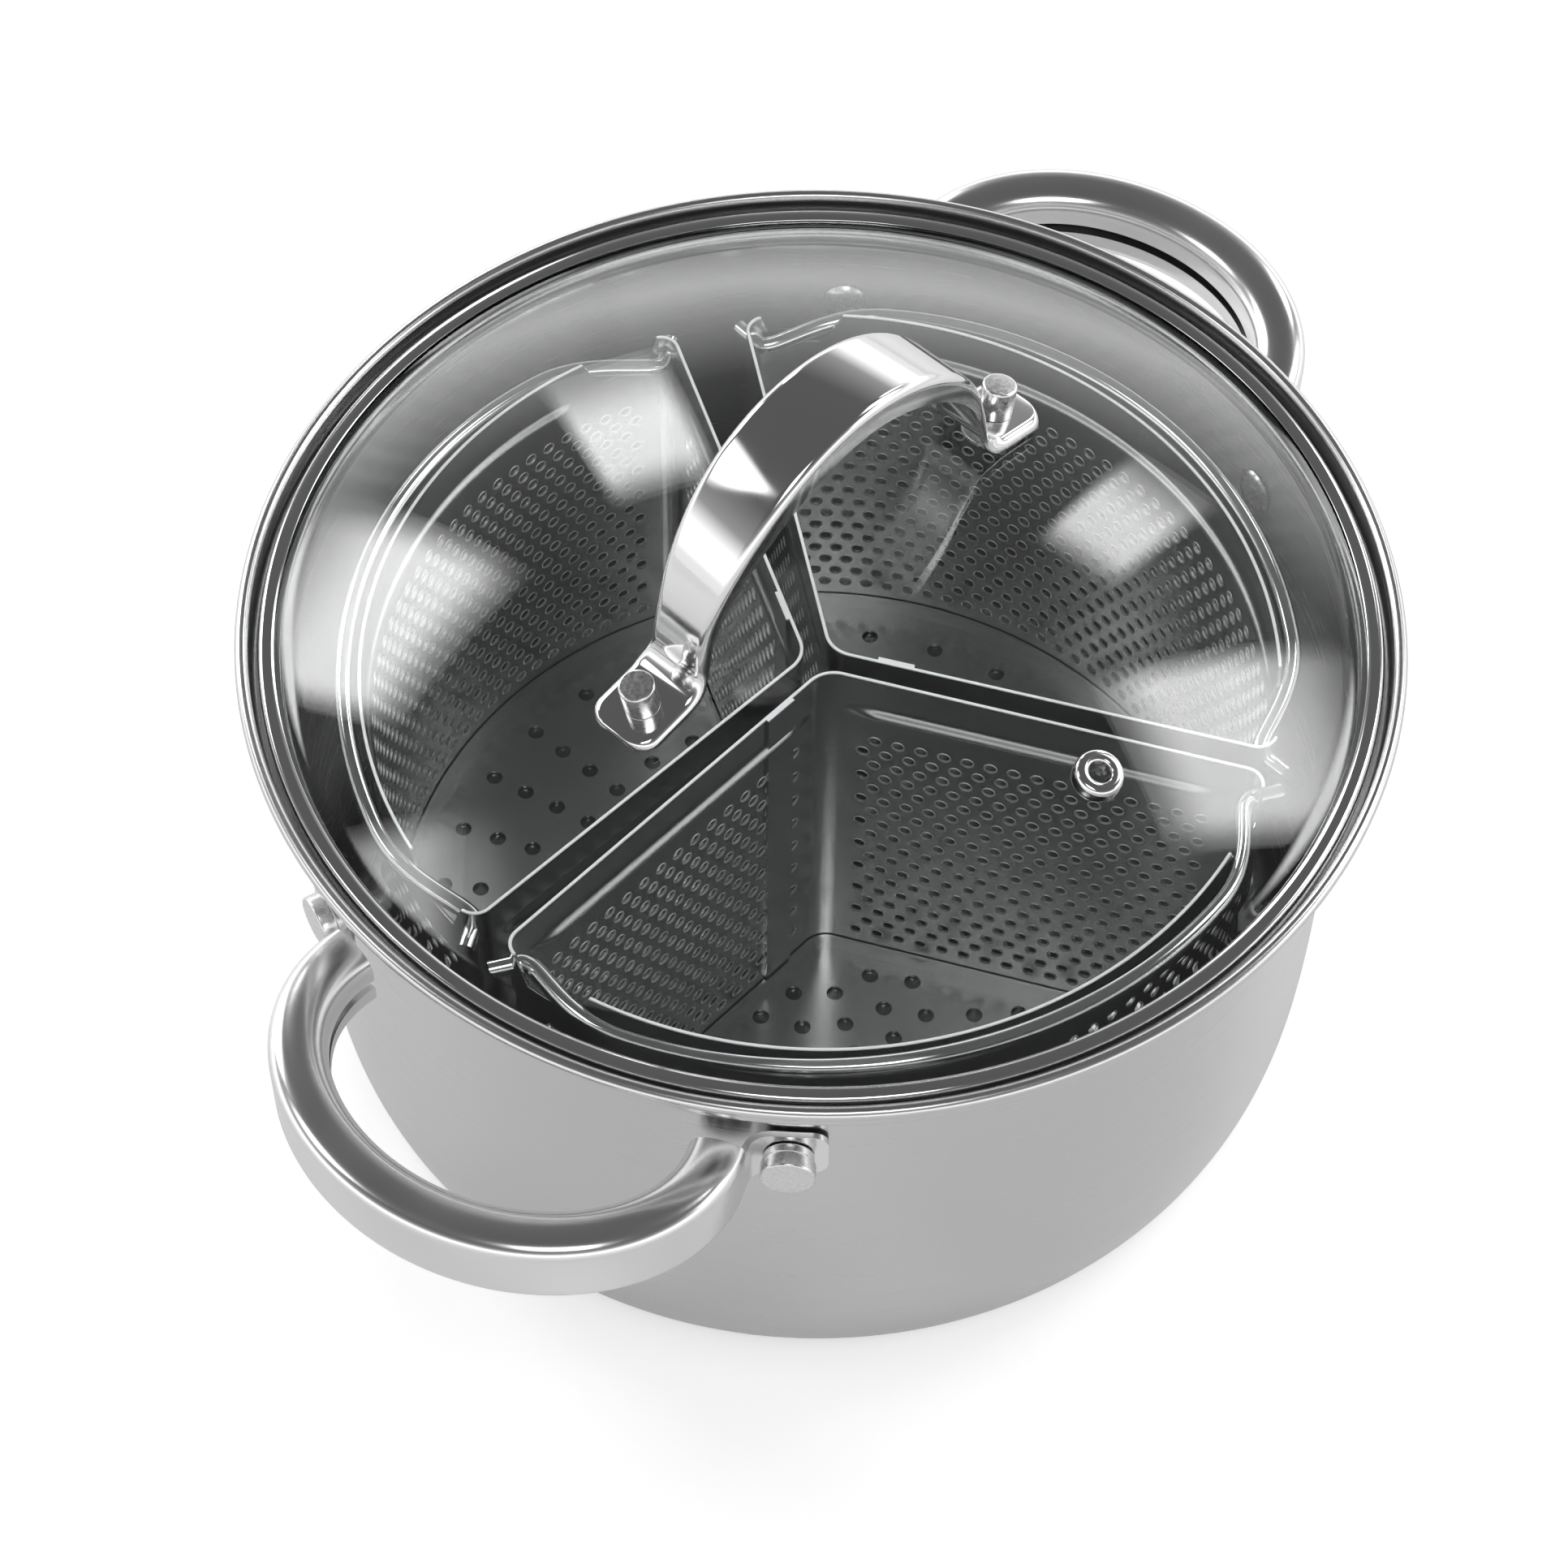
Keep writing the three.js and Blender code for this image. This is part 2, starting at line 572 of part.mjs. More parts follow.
function lidHandle() {
  const path = strapPath();
  const foot = domeLevel(STUD_SPREAD) + TAB_BEND;
  const tabStart = STRAP_HALF_SPAN + TAB_BEND / 2;
  const strap = loft(path, v3(0, 1, 0), (i) => {
    const { x, z } = path[i];
    const share = THREE.MathUtils.smoothstep(z, foot, STRAP_TOP);
    const out = THREE.MathUtils.smoothstep(Math.abs(x), STRAP_HALF_SPAN - TAB_BEND / 2, tabStart);
    const fromEnd = Math.min(i, path.length - 1 - i);
    const [, lost] = TAB_ROUNDING[TAB_ROUNDING.length - 1 - fromEnd] ?? [0, 0];
    const width = THREE.MathUtils.lerp(STRAP_LEG_WIDTH, STRAP_WIDTH, share);
    const edge = THREE.MathUtils.lerp(TAB_EDGE, STRAP_EDGE, share);
    return strapSection(THREE.MathUtils.lerp(width, TAB_WIDTH, out) - lost, edge);
  });
  const holes = [0, 180].map((turn) => domeHole(STUD_SHANK + FIT, STUD_SPREAD, turn));
  return cut(strap, ...holes);
}

function lidStud(turn) {
  const seat = GASKET_THICKNESS + STRAP_SHEET + 3 * FIT;
  const foot = -GLASS - WASHER_THICKNESS - 2 * FIT;
  const profile = [
    v2(0, foot - STUD_FOOT_LENGTH),
    v2(STUD_FOOT * DOMED, foot - STUD_FOOT_LENGTH),
    v2(STUD_FOOT, foot),
    v2(STUD_SHANK, foot),
    v2(STUD_SHANK, seat),
    v2(STUD_HEAD, seat),
    v2(STUD_HEAD, seat + STUD_HEAD_LENGTH - STUD_CHAMFER),
    v2(STUD_HEAD - STUD_CHAMFER, seat + STUD_HEAD_LENGTH),
    v2(0, seat + STUD_HEAD_LENGTH),
  ];
  return onDome(revolve(profile, ROUND_SMALL), STUD_SPREAD, turn);
}

function lidGasket(turn) {
  const profile = [
    v2(STUD_SHANK + FIT, -GLASS),
    v2(GASKET_SLEEVE, -GLASS),
    v2(GASKET_SLEEVE, FIT),
    v2(GASKET_RADIUS, FIT),
    v2(GASKET_RADIUS, FIT + GASKET_THICKNESS),
    v2(STUD_SHANK + FIT, FIT + GASKET_THICKNESS),
  ];
  return onDome(revolveLoop(profile, ROUND_SMALL), STUD_SPREAD, turn);
}

function lidWasher(turn) {
  const top = -GLASS - FIT;
  const profile = [
    v2(STUD_SHANK + FIT, top - WASHER_THICKNESS),
    v2(WASHER_RADIUS, top - WASHER_THICKNESS),
    v2(WASHER_RADIUS, top),
    v2(STUD_SHANK + FIT, top),
  ];
  return onDome(revolveLoop(profile, ROUND_SMALL), STUD_SPREAD, turn);
}

function ventEyelet() {
  const [top, bottom] = [FIT, -GLASS - FIT];
  const roll = VENT_FLANGE_THICKNESS;
  const profile = [
    v2(VENT_HOLE, bottom - roll),
    v2(VENT_FLANGE - roll, bottom - roll),
    v2(VENT_FLANGE, bottom),
    v2(VENT_BARREL, bottom),
    v2(VENT_BARREL, top),
    v2(VENT_FLANGE, top),
    v2(VENT_FLANGE - roll / 2, top + roll),
    v2(VENT_HOLE + roll / 2, top + roll),
    v2(VENT_HOLE, top + roll / 2),
  ];
  return onDome(revolveLoop(profile, ROUND_SMALL), VENT_SPREAD, VENT_TURN);
}

// The rounded corner between a straight basket wall and the outer wall, a distance in from the outside.
function basketCorner(inset) {
  const round = BASKET_CORNER_ROUND - inset;
  const apex = BASKET_APEX + inset / Math.sin(BASKET_HALF);
  const along = v2(Math.cos(BASKET_HALF), Math.sin(BASKET_HALF));
  const start = v2(apex + round * along.y, -round * along.x);
  const reach = BASKET_RADIUS - inset - round;
  const step = start.dot(along);
  const length = -step + Math.sqrt(step ** 2 - start.lengthSq() + reach ** 2);
  return { apex, round, along, middle: start.addScaledVector(along, length) };
}

// The sector's outline, a distance in from the outside of the wall.
function basketOutline(inset, target) {
  const { apex, round, along, middle } = basketCorner(inset);
  const tip = BASKET_APEX_ROUND - inset;
  const tipMiddle = apex + tip / Math.sin(BASKET_HALF);
  const wallNormal = Math.atan2(along.x, -along.y);
  const swing = Math.atan2(middle.y, middle.x);
  target.absarc(tipMiddle, 0, tip, wallNormal, 2 * Math.PI - wallNormal, false);
  target.absarc(middle.x, -middle.y, round, -wallNormal, -swing, false);
  target.absarc(0, 0, BASKET_RADIUS - inset, -swing, swing, false);
  target.absarc(middle.x, middle.y, round, swing, wallNormal, false);
  target.closePath();
  return target;
}

// A block on one straight wall, along it from the apex, across it and up.
function onStraightWall(along, across, up) {
  const box = new THREE.BoxGeometry(along[1] - along[0], across[1] - across[0], up[1] - up[0]);
  box.translate((along[0] + along[1]) / 2, -(across[0] + across[1]) / 2, (up[0] + up[1]) / 2);
  return box.rotateZ(BASKET_HALF).translate(BASKET_APEX, 0, 0);
}

// An embossed rib inside a wall: a low bar with sloping sides. The path keeps the wall on its right.
function ribAlong(path) {
  const half = RIB_WIDTH / 2;
  const [root, crest] = [BASKET_SHEET - EMBED, BASKET_SHEET + RIB_RISE];
  const section = [v2(root, -half), v2(crest, -half / 3), v2(crest, half / 3), v2(root, half)];
  return loft(path, v3(0, 0, 1), () => section);
}

// The ribs of the lapped wall, the plain wall and the outer wall.
function basketRibs() {
  const level = BASKET_TOP - RIB_DROP;
  const end = basketCorner(0).middle.length() - RIB_MARGIN;
  const onWall = (length, side) => v3(
    BASKET_APEX + length * Math.cos(BASKET_HALF),
    side * length * Math.sin(BASKET_HALF),
    level,
  );
  const swing = basketCorner(0).middle.angle();
  const around = Array.from({ length: 2 * SHEET_ARC - 1 }, (_, i) => {
    const turn = swing * ((i + 1) / SHEET_ARC - 1);
    return v3(BASKET_RADIUS * Math.cos(turn), BASKET_RADIUS * Math.sin(turn), level);
  });
  return [
    ribAlong([onWall(end, 1), onWall(LAP_START + LAP_WIDTH + RIB_WIDTH, 1)]),
    ribAlong([onWall(RIB_START, -1), onWall(end, -1)]),
    ribAlong(around),
  ];
}

// The bail's bend from its straight end to its stretch round the outer wall, seen from above.
function bailEase() {
  const { middle } = basketCorner(0);
  const inner = middle.y + BASKET_CORNER_ROUND - BAIL_INSIDE;
  const turn = rad(BAIL_HALF_ARC);
  const end = v2(Math.cos(turn), Math.sin(turn)).multiplyScalar(BAIL_RADIUS);
  const back = v2(-Math.sin(turn), Math.cos(turn)).multiplyScalar(BAIL_EASE_OUT);
  return new THREE.CubicBezierCurve(
    v2(middle.x, inner),
    v2(middle.x, inner - BAIL_EASE_IN),
    end.clone().add(back),
    end,
  );
}

// Where the bail crosses the outer wall, as an angle from the basket's middle.
function bailCrossing() {
  const ease = bailEase();
  let [low, high] = [0, 1];
  for (let i = 0; i < 40; i += 1) {
    const middle = (low + high) / 2;
    if (ease.getPoint(middle).length() < BASKET_RADIUS - BASKET_SHEET / 2) low = middle;
    else high = middle;
  }
  return ease.getPoint(low).angle();
}

function bailNotch(sign) {
  const floor = PIVOT_LEVEL - WIRE - FIT;
  const height = BASKET_TOP + CUT - floor;
  const box = new THREE.BoxGeometry(2 * BASKET_CORNER_ROUND, NOTCH_WIDTH, height);
  return box.translate(BASKET_RADIUS, 0, floor + height / 2).rotateZ(sign * bailCrossing());
}

function bailHole() {
  const { middle } = basketCorner(0);
  const radius = WIRE + FIT;
  const length = 2 * (middle.y + 2 * BASKET_CORNER_ROUND);
  const bar = new THREE.CylinderGeometry(radius, radius, length, ROUND_SMALL);
  return bar.translate(middle.x, 0, PIVOT_LEVEL);
}

function basketWall() {
  const shape = basketOutline(0, new THREE.Shape());
  shape.holes.push(basketOutline(BASKET_SHEET, new THREE.Path()));
  const strip = raise(shape, BASKET_BOTTOM, BASKET_TOP);
  const lap = onStraightWall(
    [LAP_START, LAP_START + LAP_WIDTH],
    [BASKET_SHEET - EMBED, 2 * BASKET_SHEET],
    [BASKET_BOTTOM + FLOOR_EDGE + BASKET_FLOOR, BASKET_TOP],
  );
  const whole = join(strip, lap, ...basketRibs());
  return cut(whole, bailNotch(1), bailNotch(-1), bailHole());
}

function basketFloor() {
  const outside = BASKET_SHEET + FIT;
  const sector = basketOutline(outside, new THREE.Shape());
  const plate = raise(sector, BASKET_BOTTOM, BASKET_BOTTOM + BASKET_FLOOR);
  const edge = basketOutline(outside, new THREE.Shape());
  edge.holes.push(basketOutline(outside + BASKET_SHEET, new THREE.Path()));
  const rim = raise(edge, BASKET_BOTTOM, BASKET_BOTTOM + FLOOR_EDGE);
  return join(plate, rim);
}

// A wire bail at rest, with its pivot along Y.
function bail() {
  const { middle } = basketCorner(0);
  const stub = v2(middle.x, middle.y + BASKET_CORNER_ROUND + BAIL_STUB);
  const around = new THREE.Path().absarc(0, 0, BAIL_RADIUS, rad(BAIL_HALF_ARC), 0, true);
  const bend = bailEase().getPoints(BAIL_EASE_STEPS);
  const half = [stub, ...bend, ...around.getPoints(BAIL_ARC_STEPS / 2).slice(1)];
  const mirrored = half.slice(0, -1).map(({ x, y }) => v2(x, -y)).reverse();
  const path = [...half, ...mirrored].map(({ x, y }) => v3(x - middle.x, y, 0));
  const round = new THREE.Path().absarc(0, 0, WIRE, 0, 2 * Math.PI, false);
  const section = round.getPoints(ROUND_WIRE / 2).slice(1);
  const wire = loft(path, v3(0, 0, 1), () => section);
  return wire.rotateY(-rad(BAIL_TILT)).translate(middle.x, 0, PIVOT_LEVEL);
}

const steel = (color, roughness) => new THREE.MeshStandardMaterial({ color, roughness, metalness: 1 });
const finishes = {
  brushed: () => steel(0xc4c5c7, 0.35),
  polished: () => steel(0xd6d7d9, 0.1),
  basket: () => steel(0xb4b5b8, 0.25),
  aluminium: () => steel(0xb9bcc0, 0.5),
  rivet: () => steel(0xcfd0d2, 0.2),
  glass: () => new THREE.MeshStandardMaterial({
    color: 0xdfe8e4, roughness: 0.03, metalness: 0, transparent: true, opacity: 0.25,
  }),
  silicone: () => new THREE.MeshStandardMaterial({ color: 0xd9dcdc, roughness: 0.6, metalness: 0 }),
};

function piece(parent, name, geometry, finish) {
  const mesh = new THREE.Mesh(closed(geometry), finishes[finish]());
  mesh.name = name;
  parent.add(mesh);
}

const group = new THREE.Group();
piece(group, 'pot_body', potBody(), 'brushed');
piece(group, 'base_core', baseCore(), 'aluminium');
piece(group, 'base_cap', baseCap(), 'brushed');
for (const [name, facing] of [['front', 180], ['rear', 0]]) {
  piece(group, `handle_${name}`, handle().rotateZ(rad(facing)), 'polished');
}
for (const { name, angle } of rivetPlaces()) piece(group, name, rivet(angle), 'rivet');

const lid = new THREE.Group();
lid.rotation.z = rad(LID_TURN);
group.add(lid);
piece(lid, 'lid_glass', lidGlass(), 'glass');
piece(lid, 'lid_rim', lidRim(), 'polished');
piece(lid, 'lid_handle', lidHandle(), 'polished');
for (const [name, turn] of [['front', 180], ['rear', 0]]) {
  piece(lid, `lid_stud_${name}`, lidStud(turn), 'rivet');
  piece(lid, `lid_gasket_${name}`, lidGasket(turn), 'silicone');
  piece(lid, `lid_washer_${name}`, lidWasher(turn), 'rivet');
}
piece(lid, 'vent_eyelet', ventEyelet(), 'polished');

BASKET_NAMES.forEach((name, i) => {
  const basket = new THREE.Group();
  basket.rotation.z = rad(BASKET_TURNS[i]);
  group.add(basket);
  piece(basket, `basket_wall_${name}`, basketWall(), 'basket');
  piece(basket, `basket_floor_${name}`, basketFloor(), 'basket');
  piece(basket, `bail_${name}`, bail(), 'polished');
});

export default group;
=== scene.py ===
"""Looks of a steel pot with a glass lid and three perforated sector baskets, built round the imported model.

Sizes are millimetres in the model's own frame and become metres when a mesh is made. MERGE_DISTANCE,
CAMERA_NEAR and the studio's sizes are metres. Angles are degrees, apart from BASKET_HALF.
"""
import math

import bmesh
import bpy
from mathutils import Matrix, Vector


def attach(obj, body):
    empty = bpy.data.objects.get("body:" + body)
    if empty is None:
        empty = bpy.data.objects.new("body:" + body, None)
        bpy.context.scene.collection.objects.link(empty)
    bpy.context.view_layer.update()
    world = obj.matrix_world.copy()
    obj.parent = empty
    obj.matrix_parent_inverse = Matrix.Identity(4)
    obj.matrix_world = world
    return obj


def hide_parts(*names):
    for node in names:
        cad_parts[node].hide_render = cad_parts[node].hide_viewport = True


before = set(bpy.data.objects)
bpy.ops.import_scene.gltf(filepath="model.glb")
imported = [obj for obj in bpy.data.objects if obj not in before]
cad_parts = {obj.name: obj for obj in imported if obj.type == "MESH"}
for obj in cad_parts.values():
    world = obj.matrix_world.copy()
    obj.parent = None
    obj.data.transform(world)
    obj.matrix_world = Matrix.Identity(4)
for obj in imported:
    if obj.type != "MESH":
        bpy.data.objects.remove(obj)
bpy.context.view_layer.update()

MM = 0.001

# Pot
POT_HEIGHT = 144.0
RIM_RADIUS = 140.0
LIP_BEAD = 3.3
LIP_CURL = 110.0
WALL_RADIUS = 129.0
WALL = 1.0
FOOT_RADIUS = 112.0
CURVE_RISE = 64.0
CURVE_POWER = 3.6
SHELL_BOTTOM = 4.3
SEAT = 136.0
FLARE_RISE = 6.0
# Reach of the painted shade on the pot's bottom, and its blend into the bright sheet
BOTTOM_RADIUS = 108.0
BOTTOM_BLEND = 3.0
FLAT_SHARE = 0.9
CAP_RADIUS = 110.0
CAP_SHEET = 0.8
CAP_BEND = 2.0

# Loop handles
HANDLE_SHEET = 1.6
HANDLE_REACH = 182.5
HANDLE_HALF_WIDTH = 58.0
LOOP_CENTRE = 135.0
BAND_HEIGHT = 21.0
BAND_REACH = 13.5
BAND_CROWN = 5.0
BAND_SHOULDER = 3.8
BAND_EASE = 0.8
BAND_FALL = 5.5
BAND_LIP = 9.0
BAND_DROP = 27.0
EAR_DROP = 32.0
EAR_HEIGHT = 15.5
EAR_REACH = 9.0
EAR_CORNER = 4.0
EAR_ANGLE = 28.4
EAR_BEND = 6.0
EAR_RADIUS = 131.3
EAR_INSET = 0.1

# Rivets, as radii and lengths
RIVET_NECK = 5.9
RIVET_NECK_LENGTH = 2.2
RIVET_HEAD = 6.4
RIVET_HEAD_LENGTH = 4.0
RIVET_INNER_HEAD = 6.0
RIVET_INNER_RISE = 2.2
RIVET_INNER_CROWN = 0.8
RIVET_SHANK = 2.6
RIVET_SINK = 0.4
RIVET_LIFT = 0.2

# Lid
GLASS = 3.6
DOME_RADIUS = 310.0
DOME_TOP = 169.0
GLASS_RADIUS = 133.8
GLASS_EDGE_BOTTOM = 137.2
LID_BOTTOM = 136.3
LID_RIM_TOP = 141.7
LID_RIM_RADIUS = 134.7
LID_RIM_SHEET = 0.6
LID_RIM_TOP_LIP = 4.1
LID_RIM_UNDER_LIP = 5.6
LID_RIM_FOOT_EASE = 1.0
LID_RIM_TOP_EASE = 1.7
LID_RIM_HEM = 1.0
LID_RIM_HEM_DROP = 0.7
LID_RIM_HEM_LEAN = 0.2
LID_TURN = -11.5
STUD_SPREAD = 60.0
VENT_SPREAD = 84.7
VENT_TURN = -89.0
STACK = 3.2

# Studs, gaskets and washers of the lid, as radii and lengths
STUD_SHANK = 2.5
STUD_LIFT = 0.1
STUD_HEAD = 4.3
STUD_HEAD_LENGTH = 8.5
STUD_FOOT = 5.0
STUD_FOOT_DROP = 1.7
STUD_FOOT_CROWN = 4.2
STUD_FOOT_RISE = 1.6
STACK_BORE = 2.8
GASKET_SLEEVE = 3.9
GASKET_RADIUS = 7.4
GASKET_LIFT = 0.1
GASKET_TOP = 1.6
WASHER_RADIUS = 7.0
WASHER_GAP = 0.3
WASHER_THICKNESS = 1.2

# Vent eyelet, as radii and rises from the glass
EYELET_LIFT = 0.2
EYELET_NECK = 3.8
EYELET_FLANGE = 6.0
EYELET_FOOT = 5.2
EYELET_FOOT_BORE = 2.6
EYELET_FOOT_RISE = 1.3
EYELET_FOOT_EASE = 0.6
EYELET_CROWN = 5.4
EYELET_CROWN_RISE = 1.5
EYELET_CROWN_EASE = 1.1
EYELET_MOUTH = 2.9
EYELET_MOUTH_RISE = 1.6
EYELET_MOUTH_EASE = 1.0
EYELET_BORE = 2.5
EYELET_BORE_RISE = 0.2

# Lid handle
STRAP_SHEET = 1.4
STRAP_HALF_SPAN = 50.0
STRAP_TOP = 223.0
STRAP_WIDTH = 22.0
STRAP_LEG_WIDTH = 15.0
STRAP_EDGE = 7.5
STRAP_ROLL = 2.4
TAB_WIDTH = 19.0
TAB_EDGE = 2.6
TAB_REACH = 9.5
TAB_BEND = 6.0
TAB_CORNER = 5.0

# Baskets
BASKETS = {"right": -15.5, "front": -132.9, "left": 108.4}
BASKET_HALF_ANGLE = 58.5
BASKET_HALF = math.radians(BASKET_HALF_ANGLE)
BASKET_RADIUS = 111.5
BASKET_APEX = 3.0
BASKET_APEX_ROUND = 8.0
BASKET_CORNER_ROUND = 5.0
BASKET_SHEET = 0.8
SHEARED_EDGE = 0.5
TOP_EASE = 0.12
TOP_ROWS = (6.0, 3.0, 0.15, 0.0)
BASKET_TOP = 125.0
BASKET_BOTTOM = 5.6
HOLE_RADIUS = 1.6
HOLE_PITCH = 5.85
COLUMN_PITCH = HOLE_PITCH / 2
HOLE_ROWS = 18
HOLE_ROW_PITCH = 4.95
HOLE_SIDES = 10
# Rings of a hole's burr, as steps out from the hole and in from the sheet
BURR = ((0.3, -0.02), (0.1, 0.16), (-0.06, 0.08), (-0.1, -0.4))
HOLES_BELOW_TOP = 21.5
RIB_DROP = 12.7
RIB_HALF_WIDTH = 2.4
RIB_RISE = 1.6
RIB_MARGIN = 7.0
RIB_SHARE = 0.75
RIB_ROWS = 4
LAP_START = 12.0
LAP_WIDTH = 9.0
LAP_SINK = 0.1
FLOOR_THICKNESS = 1.0
FLOOR_GAP = 0.3
FLOOR_EDGE = 6.0
FLOOR_HOLE = 2.2
FLOOR_HOLE_SIDES = 24
FLOOR_PLATE_INSET = 0.1
FLOOR_EDGE_LIFT = 0.05
# Rings of floor holes, as radius and degrees from hole to hole
FLOOR_FINE_STEP = 10.8
FLOOR_RINGS = [(radius, FLOOR_FINE_STEP) for radius in (100, 90, 80, 70, 60)]
FLOOR_RINGS += [(50, 14), (40, 16), (31, 21), (21, 30)]
FLOOR_HALF_SPAN = 60
FLOOR_MARGIN = 5.5
NOTCH_ANGLE = 49.6
NOTCH_WIDTH = 17.0
NOTCH_DEPTH = 10.0
NOTCH_EASE = 2.0
NOTCH_TOLERANCE = 1.0

# Bails
WIRE = 2.25
BAIL_RADIUS = 115.5
BAIL_HALF_ARC = 38.0
PIVOT_LEVEL = 117.5
BAIL_TILT = 7.0
BAIL_STUB = 5.2
BAIL_INSIDE = 2.2
BAIL_EASE_IN = 5.0
BAIL_EASE_OUT = 18.0

# Eases of small corners, from sheared edges to turned heads
FINE_EASE = 0.1
SMALL_EASE = 0.2
EDGE_EASE = 0.3
FOLD_EASE = 0.4
STEP_EASE = 0.5
HEAD_EASE = 0.7
ROUND_EASE = 0.8

# Facets
ROUND = 192
ROUND_SMALL = 48
ROUND_WIRE = 16
ON_AXIS = 1e-6
MERGE_DISTANCE = 1e-6
SHARP_ANGLE = 35

# Span of a noise texture that its signal mostly fills
NOISE_SPAN = (0.3, 0.7)

# Camera, from the photograph's perspective
IMAGE_PIXELS = 1932
FOCAL_PIXELS = 4900
SENSOR = 36.0
CAMERA_PLACE = (-507.2, -295.6, 892.7)
CAMERA_HEADING = -58.95
CAMERA_TILT = 54.39
CAMERA_ROLL = 0.80
CAMERA_NEAR = 0.01

# Studio, with panels as azimuth, elevation, width, height and radiance
STUDIO_TARGET = (0, 0, 0.08)
PANEL_DISTANCE = 1.7
PANELS = {
    "panel_left": (80, 34, 0.58, 0.80, 7.5),
    "panel_back": (48, 34, 0.28, 0.62, 7.0),
    "panel_behind": (-1, 38, 0.24, 0.52, 6.0),
    "panel_right": (-32, 44, 0.57, 0.82, 7.0),
    "panel_side": (120, 48, 0.55, 0.55, 4.0),
    "panel_low": (-60, 30, 0.80, 0.50, 3.0),
    "panel_front": (215, 60, 0.70, 0.70, 4.2),
}
# Where a panel goes from dim to full, as shares of its height and width
PANEL_FADES = (("Y", (0.0, 0.55)), ("Y", (1.0, 0.75)), ("X", (0.0, 0.2)), ("X", (1.0, 0.85)))
PANEL_DIM = 0.15
# Brightness from straight down to straight up
WORLD_RAMP = ((0.0, 0.9), (0.52, 1.1), (0.58, 2.4), (0.64, 1.5), (0.72, 0.40), (0.85, 0.13), (1.0, 0.12))
FLOOR_SIZE = 8.0
FLOOR_DROP = 0.0004
FLOOR_COLOR = 0.8
FLOOR_GLOWS = {"Is Camera Ray": 0.46, "Is Transmission Ray": 0.46, "Is Glossy Ray": 0.1}


# Outlines


def arc(x, y, radius, start, end, steps):
    """Points on an arc about (x, y) from one angle to another, both ends included."""
    turns = [math.radians(start + (end - start) * i / steps) for i in range(steps + 1)]
    return [(x + radius * math.cos(t), y + radius * math.sin(t)) for t in turns]


def heading(degrees):
    """The direction at an angle in the XY plane."""
    t = math.radians(degrees)
    return Vector((math.cos(t), math.sin(t)))


def curve(points, steps):
    """Points on a Bezier curve of two, three or four control points, both ends included."""
    points = [Vector(p) for p in points]
    order = len(points) - 1
    out = []
    for i in range(steps + 1):
        t = i / steps
        shares = [math.comb(order, k) * t ** k * (1 - t) ** (order - k) for k in range(order + 1)]
        out.append(sum((p * s for p, s in zip(points, shares)), Vector([0.0] * len(points[0]))))
    return out


def eased(corners, closed=False, steps=5):
    """A polyline through (x, y, ease) corners, each rounded off over its ease along both sides."""
    out = []
    count = len(corners)
    for i, (x, y, ease) in enumerate(corners):
        at_end = not closed and i in (0, count - 1)
        if ease == 0 or at_end:
            out.append((x, y))
            continue
        here = Vector((x, y))
        before = Vector(corners[i - 1][:2]) - here
        after = Vector(corners[(i + 1) % count][:2]) - here
        start = here + before.normalized() * min(ease, before.length / 2)
        end = here + after.normalized() * min(ease, after.length / 2)
        out.extend(curve((start, here, end), steps))
    return out


def quarter_turn(steps):
    """Angles in radians up to a right angle, its start left out."""
    return [math.radians(90 * k / steps) for k in range(1, steps + 1)]


def smoothstep(value, low, high):
    """A share from 0 at low to 1 at high, level at both."""
    share = min(max((value - low) / (high - low), 0.0), 1.0)
    return share * share * (3 - 2 * share)


# Shapes, each a list of vertices and a list of faces


def added(verts, more):
    """Adds vertices to a list and gives their numbers."""
    start = len(verts)
    verts.extend(more)
    return list(range(start, len(verts)))


def bands(rings, closed=False):
    """Faces between neighbouring rings of vertex numbers."""
    faces = []
    for low, high in zip(rings, rings[1:] + (rings[:1] if closed else [])):
        for k in range(len(low)):
            n = (k + 1) % len(low)
            faces.append(list(dict.fromkeys((low[k], low[n], high[n], high[k]))))
    return faces


def lathe(profile, segments=ROUND, closed=False):
    """A profile of (radius, height) turned about Z."""
    turns = [2 * math.pi * k / segments for k in range(segments)]
    verts, rings = [], []
    for radius, height in profile:
        if radius < ON_AXIS:
            rings.append(added(verts, [(0, 0, height)]) * segments)
            continue
        circle = [(radius * math.cos(t), radius * math.sin(t), height) for t in turns]
        rings.append(added(verts, circle))
    return verts, bands(rings, closed)


def small_ring(corners):
    """A small ring turned about Z from its section's (radius, height, ease) corners."""
    return lathe(eased(corners, closed=True), ROUND_SMALL, closed=True)


def sweep(path, up, section_at):
    """Closed sections set square to a path: their x runs along up x travel and their y along up."""
    up = Vector(up)
    verts, rings = [], []
    last = len(path) - 1
    for i, point in enumerate(path):
        travel = path[min(i + 1, last)] - path[max(i - 1, 0)]
        side = up.cross(travel).normalized()
        rings.append(added(verts, [point + side * x + up * y for x, y in section_at(i)]))
    return verts, bands(rings) + [rings[0], rings[-1]]


def merged(*shapes):
    verts, faces = [], []
    for more_verts, more_faces in shapes:
        start = len(verts)
        verts.extend(more_verts)
        faces.extend([start + k for k in face] for face in more_faces)
    return verts, faces


def moved(shape, *matrices):
    """A shape moved by matrices, the first one first."""
    verts = [Vector(v) for v in shape[0]]
    for matrix in matrices:
        verts = [matrix @ v for v in verts]
    return verts, shape[1]


def turn(degrees, axis):
    return Matrix.Rotation(math.radians(degrees), 4, axis)


def shift(x, y, z):
    return Matrix.Translation((x, y, z))


def placed(name, data):
    """A new object in the scene."""
    obj = bpy.data.objects.new(name, data)
    bpy.context.scene.collection.objects.link(obj)
    return obj


